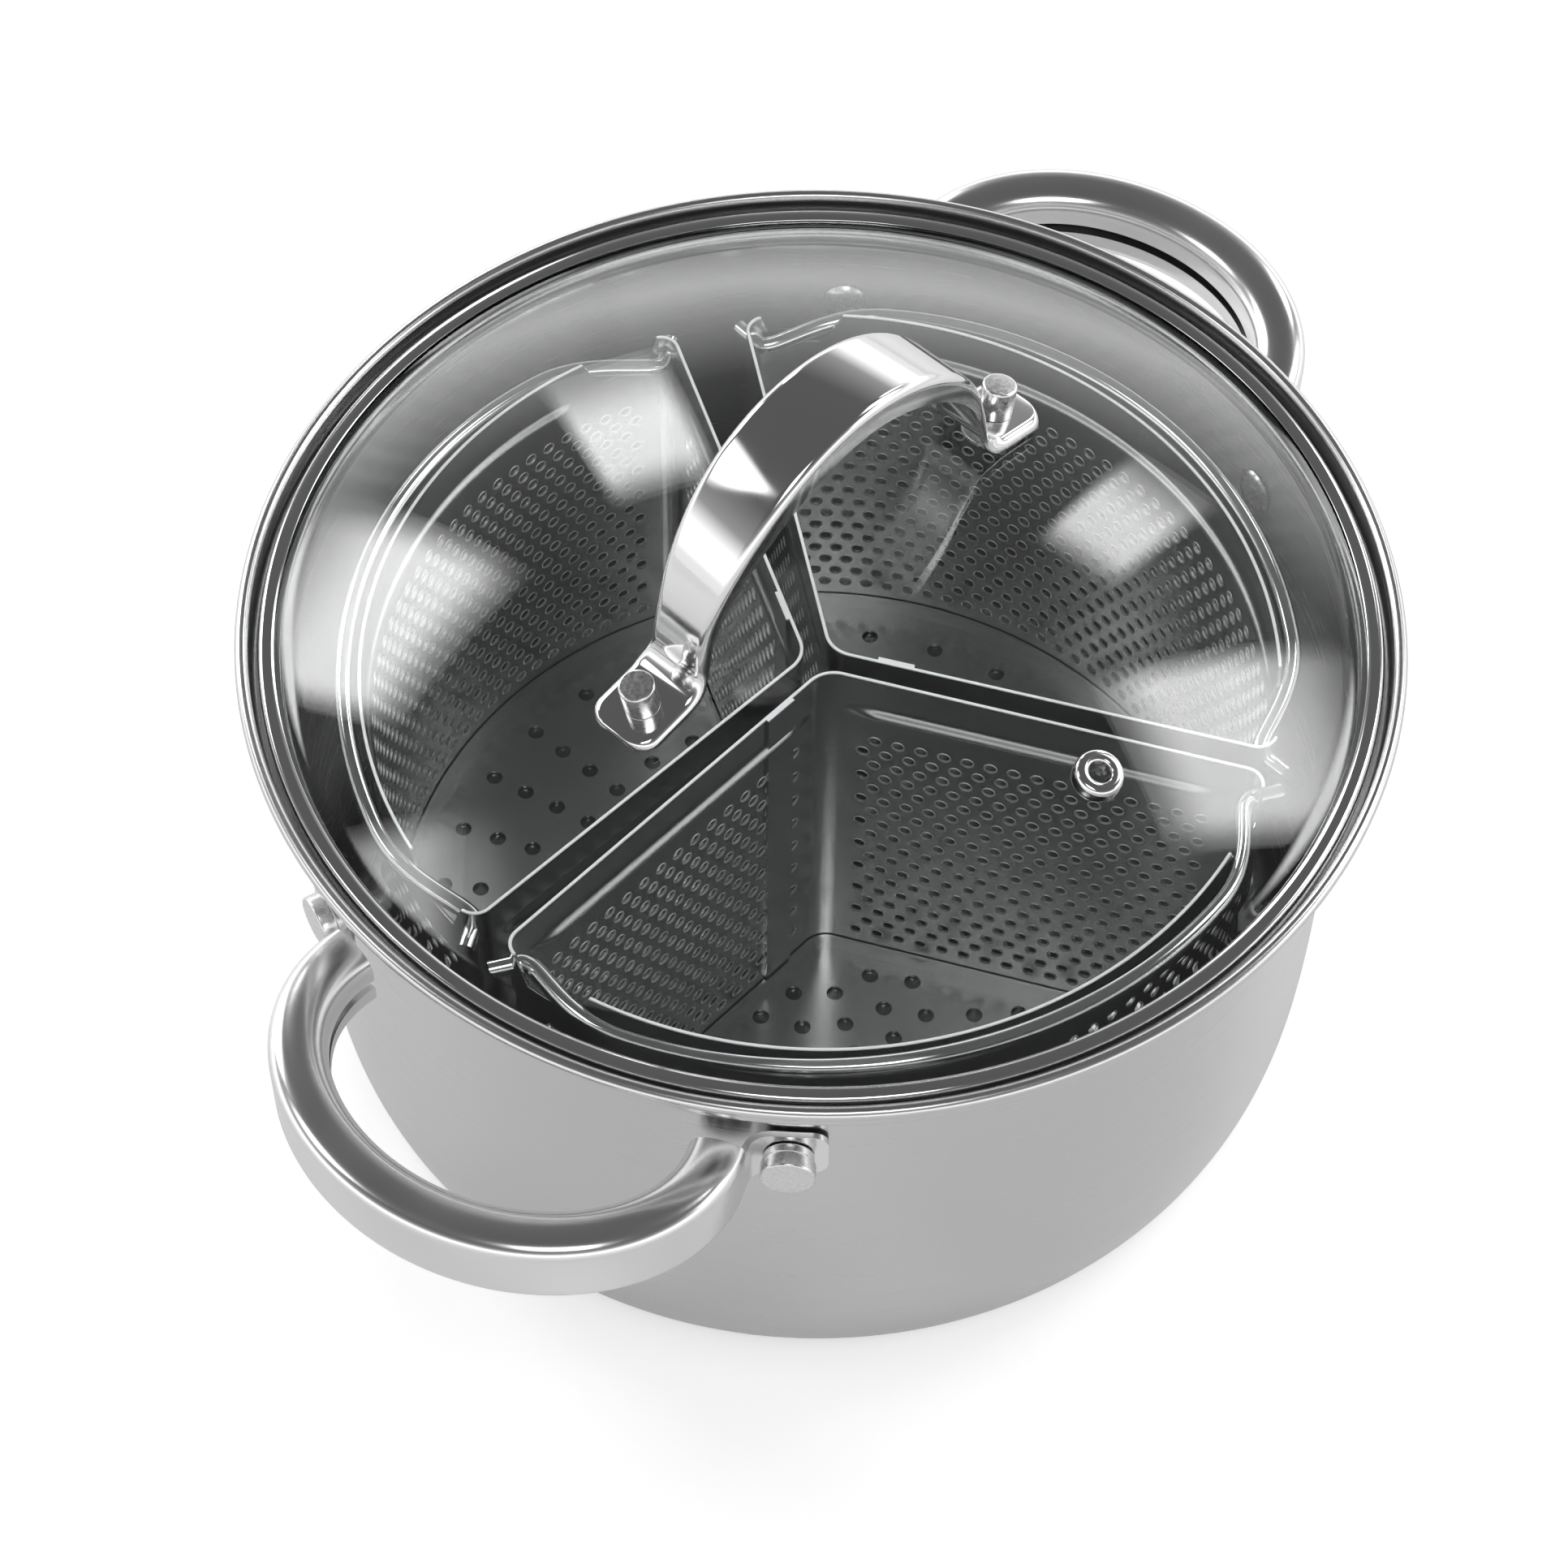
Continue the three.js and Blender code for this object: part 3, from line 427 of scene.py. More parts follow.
def piece(name, shape, body, slot, nodes, finish=None):
    """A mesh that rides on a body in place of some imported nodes, with its slot's finish or another."""
    mesh = bpy.data.meshes.new(name)
    mesh.from_pydata([Vector(v) * MM for v in shape[0]], [], shape[1])
    work = bmesh.new()
    work.from_mesh(mesh)
    bmesh.ops.remove_doubles(work, verts=work.verts, dist=MERGE_DISTANCE)
    bmesh.ops.recalc_face_normals(work, faces=work.faces)
    work.to_mesh(mesh)
    work.free()
    mesh.shade_smooth()
    mesh.set_sharp_from_angle(angle=math.radians(SHARP_ANGLE))
    mesh.materials.append(finishes[finish or slot])
    obj = placed(name, mesh)
    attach(obj, body)
    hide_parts(*nodes)


# Materials


class Nodes:
    """Short ways to add nodes to a node tree."""

    def __init__(self, tree):
        self.tree = tree

    def node(self, kind, **values):
        """A new node with some of its inputs or settings given."""
        made = self.tree.nodes.new(kind)
        for name, value in values.items():
            if name in made.inputs:
                made.inputs[name].default_value = value
            else:
                setattr(made, name, value)
        return made

    def link(self, source, target):
        self.tree.links.new(source, target)

    def ranged(self, source, old, new=(0.0, 1.0), interpolation="LINEAR"):
        """A signal with its old range mapped to a new one."""
        made = self.node("ShaderNodeMapRange", interpolation_type=interpolation)
        for name, value in zip(("From Min", "From Max", "To Min", "To Max"), (*old, *new)):
            made.inputs[name].default_value = value
        self.link(source, made.inputs["Value"])
        return made.outputs["Result"]

    def maths(self, operation, *values):
        """The result of an operation on numbers and signals."""
        made = self.node("ShaderNodeMath", operation=operation)
        for target, value in zip(made.inputs, values):
            if isinstance(value, float):
                target.default_value = value
            else:
                self.link(value, target)
        return made.outputs[0]


class Finish(Nodes):
    """A material with one Principled shader."""

    def __init__(self, name, color, metallic, roughness):
        self.material = bpy.data.materials.new(name)
        self.material.use_nodes = True
        super().__init__(self.material.node_tree)
        self.shader = self.tree.nodes["Principled BSDF"]
        self.set(Base_Color=(*color, 1), Metallic=metallic, Roughness=roughness)

    def set(self, **values):
        for name, value in values.items():
            self.shader.inputs[name.replace("_", " ")].default_value = value

    def place(self):
        """The place on the object, in metres."""
        return self.node("ShaderNodeTexCoord").outputs["Object"]

    def noise(self, across, up=None, detail=3.0):
        """Noise over the object's own place, by its scales per metre across and up."""
        scale = self.node("ShaderNodeVectorMath", operation="MULTIPLY")
        scale.inputs[1].default_value = (across, across, up or across)
        self.link(self.place(), scale.inputs[0])
        made = self.node("ShaderNodeTexNoise", Scale=1.0, Detail=detail, Roughness=0.55)
        self.link(scale.outputs[0], made.inputs["Vector"])
        return made.outputs["Fac"]

    def roughen(self, noise, low, high):
        """Lets the roughness follow a noise."""
        self.link(self.ranged(noise, NOISE_SPAN, (low, high)), self.shader.inputs["Roughness"])

    def tint(self, source, dark, light):
        mix = self.node("ShaderNodeMix", data_type="RGBA")
        colors = [s for s in mix.inputs if s.type == "RGBA"]
        colors[0].default_value = (*dark, 1)
        colors[1].default_value = (*light, 1)
        self.link(source, mix.inputs[0])
        result = [s for s in mix.outputs if s.type == "RGBA"][0]
        self.link(result, self.shader.inputs["Base Color"])

    def bump(self, source, height, strength):
        made = self.node("ShaderNodeBump", Strength=strength, Distance=height)
        self.link(source, made.inputs["Height"])
        self.link(made.outputs["Normal"], self.shader.inputs["Normal"])


def grey(value):
    return (value, value, value)


def brushed_steel():
    """Satin sheet with fine lines round the pot, and painted shade: its bottom under the baskets is dark."""
    finish = Finish("pot_steel", grey(0.60), metallic=1.0, roughness=0.24)
    lines = finish.noise(14, up=2600, detail=4.0)
    finish.roughen(lines, low=0.19, high=0.28)
    finish.bump(lines, height=0.00002, strength=0.3)
    flat = finish.node("ShaderNodeVectorMath", operation="MULTIPLY")
    flat.inputs[1].default_value = (1, 1, 0)
    distance = finish.node("ShaderNodeVectorMath", operation="LENGTH")
    finish.link(finish.place(), flat.inputs[0])
    finish.link(flat.outputs[0], distance.inputs[0])
    # Painted shade: the sheet inside BOTTOM_RADIUS, the floor under the baskets, is dark, so the baskets'
    # floor holes look shaded
    blend = (BOTTOM_RADIUS * MM, (BOTTOM_RADIUS + BOTTOM_BLEND) * MM)
    finish.tint(finish.ranged(distance.outputs["Value"], blend), dark=grey(0.16), light=grey(0.62))
    return finish.material


def polished_steel():
    """Mirror-bright pressed sheet, faintly wavy."""
    finish = Finish("polished_steel", grey(0.74), metallic=1.0, roughness=0.07)
    finish.roughen(finish.noise(55, detail=4.0), low=0.045, high=0.10)
    finish.bump(finish.noise(38, detail=1.0), height=0.0002, strength=0.25)
    return finish.material


def handle_steel():
    """Buffed pressed sheet with soft highlights."""
    finish = Finish("handle_steel", grey(0.78), metallic=1.0, roughness=0.19)
    finish.roughen(finish.noise(40, detail=2.0), low=0.17, high=0.21)
    return finish.material


def rivet_steel():
    """Machined steel with a fine grain."""
    finish = Finish("rivet_steel", grey(0.70), metallic=1.0, roughness=0.25)
    grain = finish.noise(900, detail=4.0)
    finish.roughen(grain, low=0.2, high=0.34)
    finish.bump(grain, height=0.00004, strength=0.4)
    return finish.material


def basket_steel():
    """Bright thin sheet, with a paler and rougher sheared edge along its top."""
    finish = Finish("basket_steel", grey(0.52), metallic=1.0, roughness=0.25)
    split = finish.node("ShaderNodeSeparateXYZ")
    finish.link(finish.place(), split.inputs[0])
    blend = ((BASKET_TOP - SHEARED_EDGE) * MM, (BASKET_TOP - SHEARED_EDGE / 2) * MM)
    edge = finish.ranged(split.outputs["Z"], blend)
    finish.tint(edge, dark=grey(0.52), light=grey(0.95))
    edge_roughness = 0.3
    patches = finish.noise(24, detail=1.0)
    sheet_roughness = finish.ranged(patches, old=(0.0, 1.0), new=(0.2, 0.3))
    roughness = finish.maths("MULTIPLY_ADD", edge, edge_roughness, sheet_roughness)
    finish.link(roughness, finish.shader.inputs["Roughness"])
    return finish.material


def sheared_steel():
    """The torn rims of punched holes."""
    finish = Finish("sheared_steel", grey(0.85), metallic=1.0, roughness=0.4)
    finish.roughen(finish.noise(600), low=0.32, high=0.48)
    return finish.material


def core_aluminium():
    finish = Finish("core_aluminium", (0.72, 0.73, 0.75), metallic=1.0, roughness=0.45)
    finish.roughen(finish.noise(300), low=0.38, high=0.52)
    return finish.material


def silicone():
    """Milky translucent rubber."""
    finish = Finish("silicone", (0.82, 0.84, 0.84), metallic=0.0, roughness=0.5)
    finish.set(Transmission_Weight=0.35, IOR=1.41)
    finish.roughen(finish.noise(500), low=0.42, high=0.58)
    return finish.material


def lid_glass():
    """Clear glass that lets lamps through to what is under it."""
    finish = Finish("lid_glass", (0.95, 0.962, 0.962), metallic=0.0, roughness=0.0)
    finish.set(Transmission_Weight=1.0, IOR=1.5)
    finish.roughen(finish.noise(40, detail=4.0), low=0.0, high=0.012)
    path = finish.node("ShaderNodeLightPath")
    clear = finish.node("ShaderNodeBsdfTransparent", Color=(0.91, 0.925, 0.925, 1))
    mix = finish.node("ShaderNodeMixShader")
    output = finish.tree.nodes["Material Output"]
    finish.link(path.outputs["Is Shadow Ray"], mix.inputs[0])
    finish.link(finish.shader.outputs[0], mix.inputs[1])
    finish.link(clear.outputs[0], mix.inputs[2])
    finish.link(mix.outputs[0], output.inputs["Surface"])
    return finish.material


# Pot


def foot_curve(wall_radius, bottom, steps=28):
    """The wall's curve from its straight stretch down to the flat bottom."""
    top = SHELL_BOTTOM + CURVE_RISE
    out = []
    for i in range(steps + 1):
        t = i / steps * math.pi / 2
        across = max(math.cos(t), 0) ** (2 / CURVE_POWER)
        down = math.sin(t) ** (2 / CURVE_POWER)
        out.append((FOOT_RADIUS + (wall_radius - FOOT_RADIUS) * across, top - (top - bottom) * down))
    return out


def seat_curve(inset, riser):
    """Out from the wall to the lid's seat and up to the lip, on one side of the sheet."""
    wall = WALL_RADIUS - inset
    level = SEAT - (WALL - inset)
    low = curve(((wall, level - FLARE_RISE), (wall, level), (wall + FLARE_RISE / 2, level)), 8)
    corner = FLARE_RISE / 3
    high = curve(((riser - corner, level), (riser, level), (riser, level + corner)), 8)
    return low + high


def pot_shell():
    """The drawn shell from the middle of its bottom, up outside, over the lip and down inside."""
    flat = FOOT_RADIUS * FLAT_SHARE
    half = LIP_BEAD / 2
    riser = RIM_RADIUS - LIP_BEAD
    lip = arc(RIM_RADIUS - half, POT_HEIGHT - half, half, -LIP_CURL, 180, 24)
    profile = [(0, SHELL_BOTTOM), (flat, SHELL_BOTTOM)]
    profile += foot_curve(WALL_RADIUS, SHELL_BOTTOM)[::-1]
    profile += seat_curve(0, riser + WALL) + lip + seat_curve(WALL, riser)[::-1]
    profile += foot_curve(WALL_RADIUS - WALL, SHELL_BOTTOM + WALL)
    profile += [(flat, SHELL_BOTTOM + WALL), (0, SHELL_BOTTOM + WALL)]
    return lathe(profile)


def base_cap():
    """The dish under the shell, its edge turned up to the shell's bottom."""
    inner = CAP_RADIUS - CAP_SHEET
    corners = [
        (0, 0, 0), (CAP_RADIUS * FLAT_SHARE, 0, 0), (CAP_RADIUS, 0, CAP_BEND),
        (CAP_RADIUS, SHELL_BOTTOM, EDGE_EASE), (inner, SHELL_BOTTOM, EDGE_EASE),
        (inner, CAP_SHEET, CAP_BEND), (0, CAP_SHEET, 0),
    ]
    return lathe(eased(corners))


# Loop handles


def loop_point(degrees):
    """A point on the outside of the loop, by its turn round the loop's ellipse."""
    t = math.radians(degrees)
    x = LOOP_CENTRE + (HANDLE_REACH - LOOP_CENTRE) * math.cos(t)
    y = HANDLE_HALF_WIDTH * math.sin(t)
    share = smoothstep(x, EAR_RADIUS * math.cos(math.radians(EAR_ANGLE)), HANDLE_REACH)
    return Vector((x, y, POT_HEIGHT - EAR_DROP + (EAR_DROP - BAND_DROP) * share))


def loop_end():
    """How far the loop turns before its outside meets the ear's face."""
    low, high = 90.0, 150.0
    halvings = 40
    for _ in range(halvings):
        middle = (low + high) / 2
        if loop_point(middle).xy.length > EAR_RADIUS:
            low = middle
        else:
            high = middle
    return low


def turn_for(length):
    """The loop's turn over a length near its ends."""
    return math.degrees(length / HANDLE_HALF_WIDTH)


def band_section():
    """The band's section: flat outside, crowned edges and a lip behind each of them."""
    half = BAND_HEIGHT / 2

    def side(gap):
        crown = (BAND_CROWN, half - gap)
        foot = (BAND_REACH - gap, half - BAND_FALL)
        rise = curve(((gap, half - BAND_SHOULDER), (gap, half - gap), crown), 8)
        fall = curve((crown, (BAND_REACH - BAND_EASE - gap, half - gap), foot), 12)
        lip = curve((foot, (BAND_REACH - gap, half - BAND_LIP)), 1)
        return rise + fall[1:] + lip[1:]

    top = side(0) + side(HANDLE_SHEET)[::-1]
    return top + [(x, -y) for x, y in top[::-1]]


def handle_loop(end, steps=96):
    """The band swept round the loop, turning as far to each side as its end says."""
    path = [loop_point(end * (2 * i / steps - 1)) for i in range(steps + 1)]
    section = band_section()
    return sweep(path, (0, 0, 1), lambda i: section)


def handle_ear(end, side):
    """One ear: a strap from inside the loop's band, round the bend and along the pot's wall."""
    level = POT_HEIGHT - EAR_DROP
    corner = loop_point(end)
    corner_angle = math.atan2(corner.y, corner.x)

    def on_wall(length):
        angle = corner_angle + length / EAR_RADIUS
        return Vector((EAR_RADIUS * math.cos(angle), EAR_RADIUS * math.sin(angle), level))

    def on_loop(length):
        point = loop_point(end - turn_for(length))
        return Vector((point.x, point.y, level))

    knee = Vector((corner.x, corner.y, level))
    tip = EAR_RADIUS * (math.radians(EAR_ANGLE) - corner_angle) + EAR_REACH
    path = [on_loop(3 * EAR_BEND), on_loop(2 * EAR_BEND)]
    path += curve((on_loop(EAR_BEND), knee, on_wall(EAR_BEND)), 10)
    flat_steps = 6
    straight = tip - EAR_CORNER - EAR_BEND
    path += [on_wall(EAR_BEND + straight * k / flat_steps) for k in range(1, flat_steps + 1)]
    lost = [0.0] * len(path)
    rounding = quarter_turn(8)
    path += [on_wall(tip - EAR_CORNER * (1 - math.sin(t))) for t in rounding]
    lost += [EAR_CORNER * (1 - math.cos(t)) for t in rounding]
    near, far = EAR_INSET, HANDLE_SHEET - EAR_INSET

    def section(i):
        half = EAR_HEIGHT / 2 - lost[i]
        return [(near, -half), (far, -half), (far, half), (near, half)]

    shape = sweep(path, (0, 0, 1), section)
    return moved(shape, Matrix.Scale(side, 4, (0, 1, 0)))


def handle():
    """A loop with both its ears, reaching out along X."""
    end = loop_end()
    loop = handle_loop(end - turn_for(EAR_BEND))
    return merged(loop, handle_ear(end, 1), handle_ear(end, -1))


def rivet():
    """A stepped rivet along Z, with its length measured from the pot's axis."""
    inside = WALL_RADIUS - WALL - RIVET_SINK
    outside = EAR_RADIUS + RIVET_LIFT
    neck = outside + RIVET_NECK_LENGTH
    head = neck + RIVET_HEAD_LENGTH
    low = inside - RIVET_INNER_RISE
    dome = curve(((0, low), (RIVET_INNER_HEAD * RIVET_INNER_CROWN, low), (RIVET_INNER_HEAD, inside)), 8)
    corners = [
        (RIVET_SHANK, inside, 0), (RIVET_SHANK, outside, 0), (RIVET_NECK, outside, FOLD_EASE),
        (RIVET_NECK, neck, STEP_EASE), (RIVET_HEAD, neck, ROUND_EASE),
        (RIVET_HEAD, head, HEAD_EASE), (0, head, 0),
    ]
    return lathe(dome + eased(corners), ROUND_SMALL)


def make_pot():
    level = shift(0, 0, POT_HEIGHT - EAR_DROP)
    piece("shell", pot_shell(), "pot", "pot_steel", ["pot_body"])
    piece("cap", base_cap(), "pot", "pot_steel", ["base_cap"])
    for name, facing in (("front", 180), ("rear", 0)):
        loop = moved(handle(), turn(facing, "Z"))
        piece(f"loop_{name}", loop, "pot", "polished_steel", [f"handle_{name}"], finish="handle_steel")
        for side, sign in (("left", 1), ("right", -1)):
            node = f"handle_rivet_{name}_{side}"
            stud = moved(rivet(), level @ turn(facing + sign * EAR_ANGLE, "Z") @ turn(90, "Y"))
            piece(f"stud_{name}_{side}", stud, "pot", "rivet_steel", [node])


# Lid


def dome_level(distance):
    """Height of the glass at a distance from the lid's axis."""
    return DOME_TOP - DOME_RADIUS + math.sqrt(DOME_RADIUS ** 2 - distance ** 2)


def dome_arc(radius, level, steps):
    """An arc of the dome from its top out to where it reaches a level."""
    centre = DOME_TOP - DOME_RADIUS
    reach = math.degrees(math.acos((level - centre) / radius))
    return arc(0, centre, radius, 90, 90 - reach, steps)


def on_dome(spread, degrees):
    """The matrix that sets a piece built about Z square on the dome."""
    tilt = math.degrees(math.asin(spread / DOME_RADIUS))
    return turn(LID_TURN + degrees, "Z") @ shift(spread, 0, dome_level(spread)) @ turn(tilt, "Y")


def glass_dome():
    """The glass from the middle of its underside, round its eased edge and back over the top."""
    steps = 40
    edge_top = GLASS_EDGE_BOTTOM + GLASS
    under = dome_arc(DOME_RADIUS - GLASS, GLASS_EDGE_BOTTOM, steps)
    above = dome_arc(DOME_RADIUS, edge_top, steps)
    corners = [
        (*under[-1], 0), (GLASS_RADIUS, GLASS_EDGE_BOTTOM, ROUND_EASE),
        (GLASS_RADIUS, edge_top, ROUND_EASE), (*above[-1], 0),
    ]
    return lathe(under[:-1] + eased(corners) + above[-2::-1])


def glass_rim():
    """The steel channel round the glass: a rolled top lip, the outside and a lip underneath."""
    slot = LID_RIM_RADIUS - LID_RIM_SHEET
    top_lip = LID_RIM_RADIUS - LID_RIM_TOP_LIP
    under_lip = LID_RIM_RADIUS - LID_RIM_UNDER_LIP
    under_top = LID_RIM_TOP - LID_RIM_SHEET
    over_bottom = LID_BOTTOM + LID_RIM_SHEET
    corners = [
        (under_lip, LID_BOTTOM, SMALL_EASE), (LID_RIM_RADIUS, LID_BOTTOM, LID_RIM_FOOT_EASE),
        (LID_RIM_RADIUS, LID_RIM_TOP, LID_RIM_TOP_EASE), (top_lip + LID_RIM_HEM, LID_RIM_TOP, FOLD_EASE),
        (top_lip, LID_RIM_TOP - LID_RIM_SHEET * LID_RIM_HEM_DROP, EDGE_EASE),
        (top_lip + LID_RIM_HEM_LEAN, under_top, 0), (slot, under_top, FOLD_EASE),
        (slot, over_bottom, FOLD_EASE), (under_lip, over_bottom, SMALL_EASE),
    ]
    return lathe(eased(corners, closed=True), closed=True)


def strap_path():
    """The strap's outside from tab to tab in the XZ plane, and the width lost to the tabs' corners."""
    tilt = math.asin(STUD_SPREAD / DOME_RADIUS)

    def on_tab(length):
        x = STUD_SPREAD + STACK * math.sin(tilt) + length * math.cos(tilt)
        return Vector((x, 0, dome_level(STUD_SPREAD) + STACK * math.cos(tilt) - length * math.sin(tilt)))

    inner = (STRAP_HALF_SPAN - on_tab(0).x) / math.cos(tilt)
    foot = on_tab(inner)
    rise = STRAP_TOP - foot.z

    def on_arch(t):
        return Vector((STRAP_HALF_SPAN * math.sin(t), 0, foot.z + rise * math.cos(t)))

    bend = math.pi / 2 - TAB_BEND / rise
    arch_steps = 40
    half = [on_arch(bend * i / arch_steps) for i in range(arch_steps + 1)]
    half += curve((on_arch(bend), foot, on_tab(inner + TAB_BEND)), 14)[1:]
    flat_steps = 4
    start = inner + TAB_BEND
    flat = TAB_REACH - TAB_CORNER - start
    half += [on_tab(start + flat * k / flat_steps) for k in range(1, flat_steps + 1)]
    lost = [0.0] * len(half)
    rounding = quarter_turn(10)
    half += [on_tab(TAB_REACH - TAB_CORNER * (1 - math.sin(t))) for t in rounding]
    lost += [2 * TAB_CORNER * (1 - math.cos(t)) for t in rounding]
    path = [Vector((-p.x, 0, p.z)) for p in half[:0:-1]] + half
    return path, lost[:0:-1] + lost


def strap_section(width, edge):
    """A plate with rolled, turned-down edges."""
    half = width / 2
    roll = min(STRAP_ROLL, half)
    outer = [(edge, half)] + arc(roll, half - roll, roll, 90, 180, 8)
    inner = [(edge, half - STRAP_SHEET)] + arc(roll, half - roll, roll - STRAP_SHEET, 90, 180, 8)
    right = outer[::-1] + inner
    return right + [(x, -y) for x, y in right[::-1]]


def lid_strap():
    """The arched strap, wide at its top, narrow down its legs and wide again at its tabs."""
    path, lost = strap_path()
    foot = dome_level(STUD_SPREAD) + TAB_BEND

    def section(i):
        x, _, z = path[i]
        high = smoothstep(z, foot, STRAP_TOP)
        out = smoothstep(abs(x), STRAP_HALF_SPAN - TAB_BEND / 2, STRAP_HALF_SPAN + TAB_BEND / 2)
        width = STRAP_LEG_WIDTH + (STRAP_WIDTH - STRAP_LEG_WIDTH) * high
        width += (TAB_WIDTH - width) * out
        edge = TAB_EDGE + (STRAP_EDGE - TAB_EDGE) * high
        return strap_section(width - lost[i], edge)

    return moved(sweep(path, (0, 1, 0), section), turn(LID_TURN, "Z"))


def lid_stud():
    """A stud about Z through tab and glass, with a foot under the washer."""
    seat = STACK + STUD_LIFT
    foot = -GLASS - STUD_FOOT_DROP
    head = seat + STUD_HEAD_LENGTH
    crown = foot - STUD_FOOT_RISE
    corners = [
        (0, crown, 0), (STUD_FOOT_CROWN, crown, ROUND_EASE), (STUD_FOOT, foot, SMALL_EASE),
        (STUD_SHANK, foot, 0), (STUD_SHANK, seat, 0), (STUD_HEAD, seat, SMALL_EASE),
        (STUD_HEAD, head, HEAD_EASE), (0, head, 0),
    ]
    return lathe(eased(corners), ROUND_SMALL)


def lid_gasket():
    """A pad on the glass with a sleeve down the stud's hole."""
    corners = [
        (STACK_BORE, -GLASS, SMALL_EASE), (GASKET_SLEEVE, -GLASS, SMALL_EASE),
        (GASKET_SLEEVE, GASKET_LIFT, FINE_EASE), (GASKET_RADIUS, GASKET_LIFT, FOLD_EASE),
        (GASKET_RADIUS, GASKET_TOP, STEP_EASE), (STACK_BORE, GASKET_TOP, SMALL_EASE),
    ]
    return small_ring(corners)


def lid_washer():
    top = -GLASS - WASHER_GAP
    bottom = top - WASHER_THICKNESS
    corners = [
        (STACK_BORE, bottom, SMALL_EASE), (WASHER_RADIUS, bottom, FOLD_EASE),
        (WASHER_RADIUS, top, EDGE_EASE), (STACK_BORE, top, FINE_EASE),
    ]
    return small_ring(corners)


def vent_eyelet():
    """A grommet through the glass, rolled over on both sides."""
    top = EYELET_LIFT
    bottom = -GLASS - EYELET_LIFT
    foot = bottom - EYELET_FOOT_RISE
    corners = [
        (EYELET_FOOT_BORE, foot, EYELET_FOOT_EASE), (EYELET_FOOT, foot, EYELET_FOOT_EASE),
        (EYELET_FLANGE, bottom, SMALL_EASE), (EYELET_NECK, bottom, 0), (EYELET_NECK, top, 0),
        (EYELET_FLANGE, top, EDGE_EASE), (EYELET_CROWN, top + EYELET_CROWN_RISE, EYELET_CROWN_EASE),
        (EYELET_MOUTH, top + EYELET_MOUTH_RISE, EYELET_MOUTH_EASE),
        (EYELET_BORE, top + EYELET_BORE_RISE, ROUND_EASE),
    ]
    return small_ring(corners)


def make_lid():
    round_lid = turn(LID_TURN, "Z")
    piece("dome", moved(glass_dome(), round_lid), "lid", "lid_glass", ["lid_glass"])
    piece("ring", moved(glass_rim(), round_lid), "lid", "polished_steel", ["lid_rim"])
    piece("strap", lid_strap(), "lid", "polished_steel", ["lid_handle"])
    for name, degrees in (("front", 180), ("rear", 0)):
        place = on_dome(STUD_SPREAD, degrees)
        piece(f"post_{name}", moved(lid_stud(), place), "lid", "rivet_steel", [f"lid_stud_{name}"])
        piece(f"pad_{name}", moved(lid_gasket(), place), "lid", "silicone", [f"lid_gasket_{name}"])
        piece(f"disc_{name}", moved(lid_washer(), place), "lid", "rivet_steel", [f"lid_washer_{name}"])
    vent = moved(vent_eyelet(), on_dome(VENT_SPREAD, VENT_TURN))
    piece("eyelet", vent, "lid", "polished_steel", ["vent_eyelet"])


# Baskets


def basket_corner():
    """Middle of the rounded corner between a straight wall and the outer wall."""
    along = heading(BASKET_HALF_ANGLE)
    start = Vector((BASKET_APEX + BASKET_CORNER_ROUND * along.y, -BASKET_CORNER_ROUND * along.x))
    reach = BASKET_RADIUS - BASKET_CORNER_ROUND
    step = start.dot(along)
    return start + along * (-step + math.sqrt(step ** 2 - start.length_squared + reach ** 2))


def half_outline():
    """The sector's outline from its apex to the middle of its outer wall, as (point, normal, stretch)."""
    middle = basket_corner()
    apex = BASKET_APEX + BASKET_APEX_ROUND / math.sin(BASKET_HALF)
    wall = 90 + BASKET_HALF_ANGLE
    swing = math.degrees(math.atan2(middle.y, middle.x))
    out = []

    def add_arc(x, y, radius, start, end, steps, stretch):
        for k in range(steps):
            normal = heading(start + (end - start) * k / steps)
            out.append((Vector((x, y)) + normal * radius, normal, stretch))

    add_arc(apex, 0, BASKET_APEX_ROUND, 180, wall, 4, "apex")
    normal = heading(wall)
    start = Vector((apex, 0)) + normal * BASKET_APEX_ROUND
    end = middle + normal * BASKET_CORNER_ROUND
    count = round((end - start).length / COLUMN_PITCH)
    out.extend((start.lerp(end, k / count), normal, "straight") for k in range(count))
    add_arc(middle.x, middle.y, BASKET_CORNER_ROUND, wall, swing, 10, "corner")
    count = round(math.radians(swing) * BASKET_RADIUS / COLUMN_PITCH)
    add_arc(0, 0, BASKET_RADIUS, swing, 0, count, "outer")
    out.append((Vector((BASKET_RADIUS, 0)), Vector((1, 0)), "outer"))
    return out


def outline(inset=0.0):
    """The whole sector's outline, apex first, up one side and back along the other."""
    half = half_outline()
    mirror = [(Vector((p.x, -p.y)), Vector((n.x, -n.y)), stretch) for p, n, stretch in half[-2:0:-1]]
    return [(p - n * inset, n, stretch) for p, n, stretch in half + mirror]


def stretches(columns):
    """First and last column of each run that holes may fill."""
    runs = []
    for kind in ("straight", "outer"):
        members = [i for i, column in enumerate(columns) if column[2] == kind]
        cuts = [i for i in range(1, len(members)) if members[i] != members[i - 1] + 1]
        for low, high in zip([0] + cuts, cuts + [len(members)]):
            runs.append((members[low], members[high - 1], kind))
    return runs


def ring_fill(corners, sides):
    """Triangles between a cell's corners and a hole's ring, as (corner or ring, index) triples."""
    corner_turns = [math.atan2(y, x) % (2 * math.pi) for x, y in corners]
    order = sorted(range(len(corners)), key=lambda k: corner_turns[k])
    marks = [(corner_turns[k], "corner", k) for k in order]
    marks += [(2 * math.pi * k / sides, "ring", k) for k in range(sides)]
    last = {"corner": order[-1], "ring": sides - 1}
    out = []
    for _, kind, index in sorted(marks):
        out.append((("corner", last["corner"]), ("ring", last["ring"]), (kind, index)))
        last[kind] = index
    return out


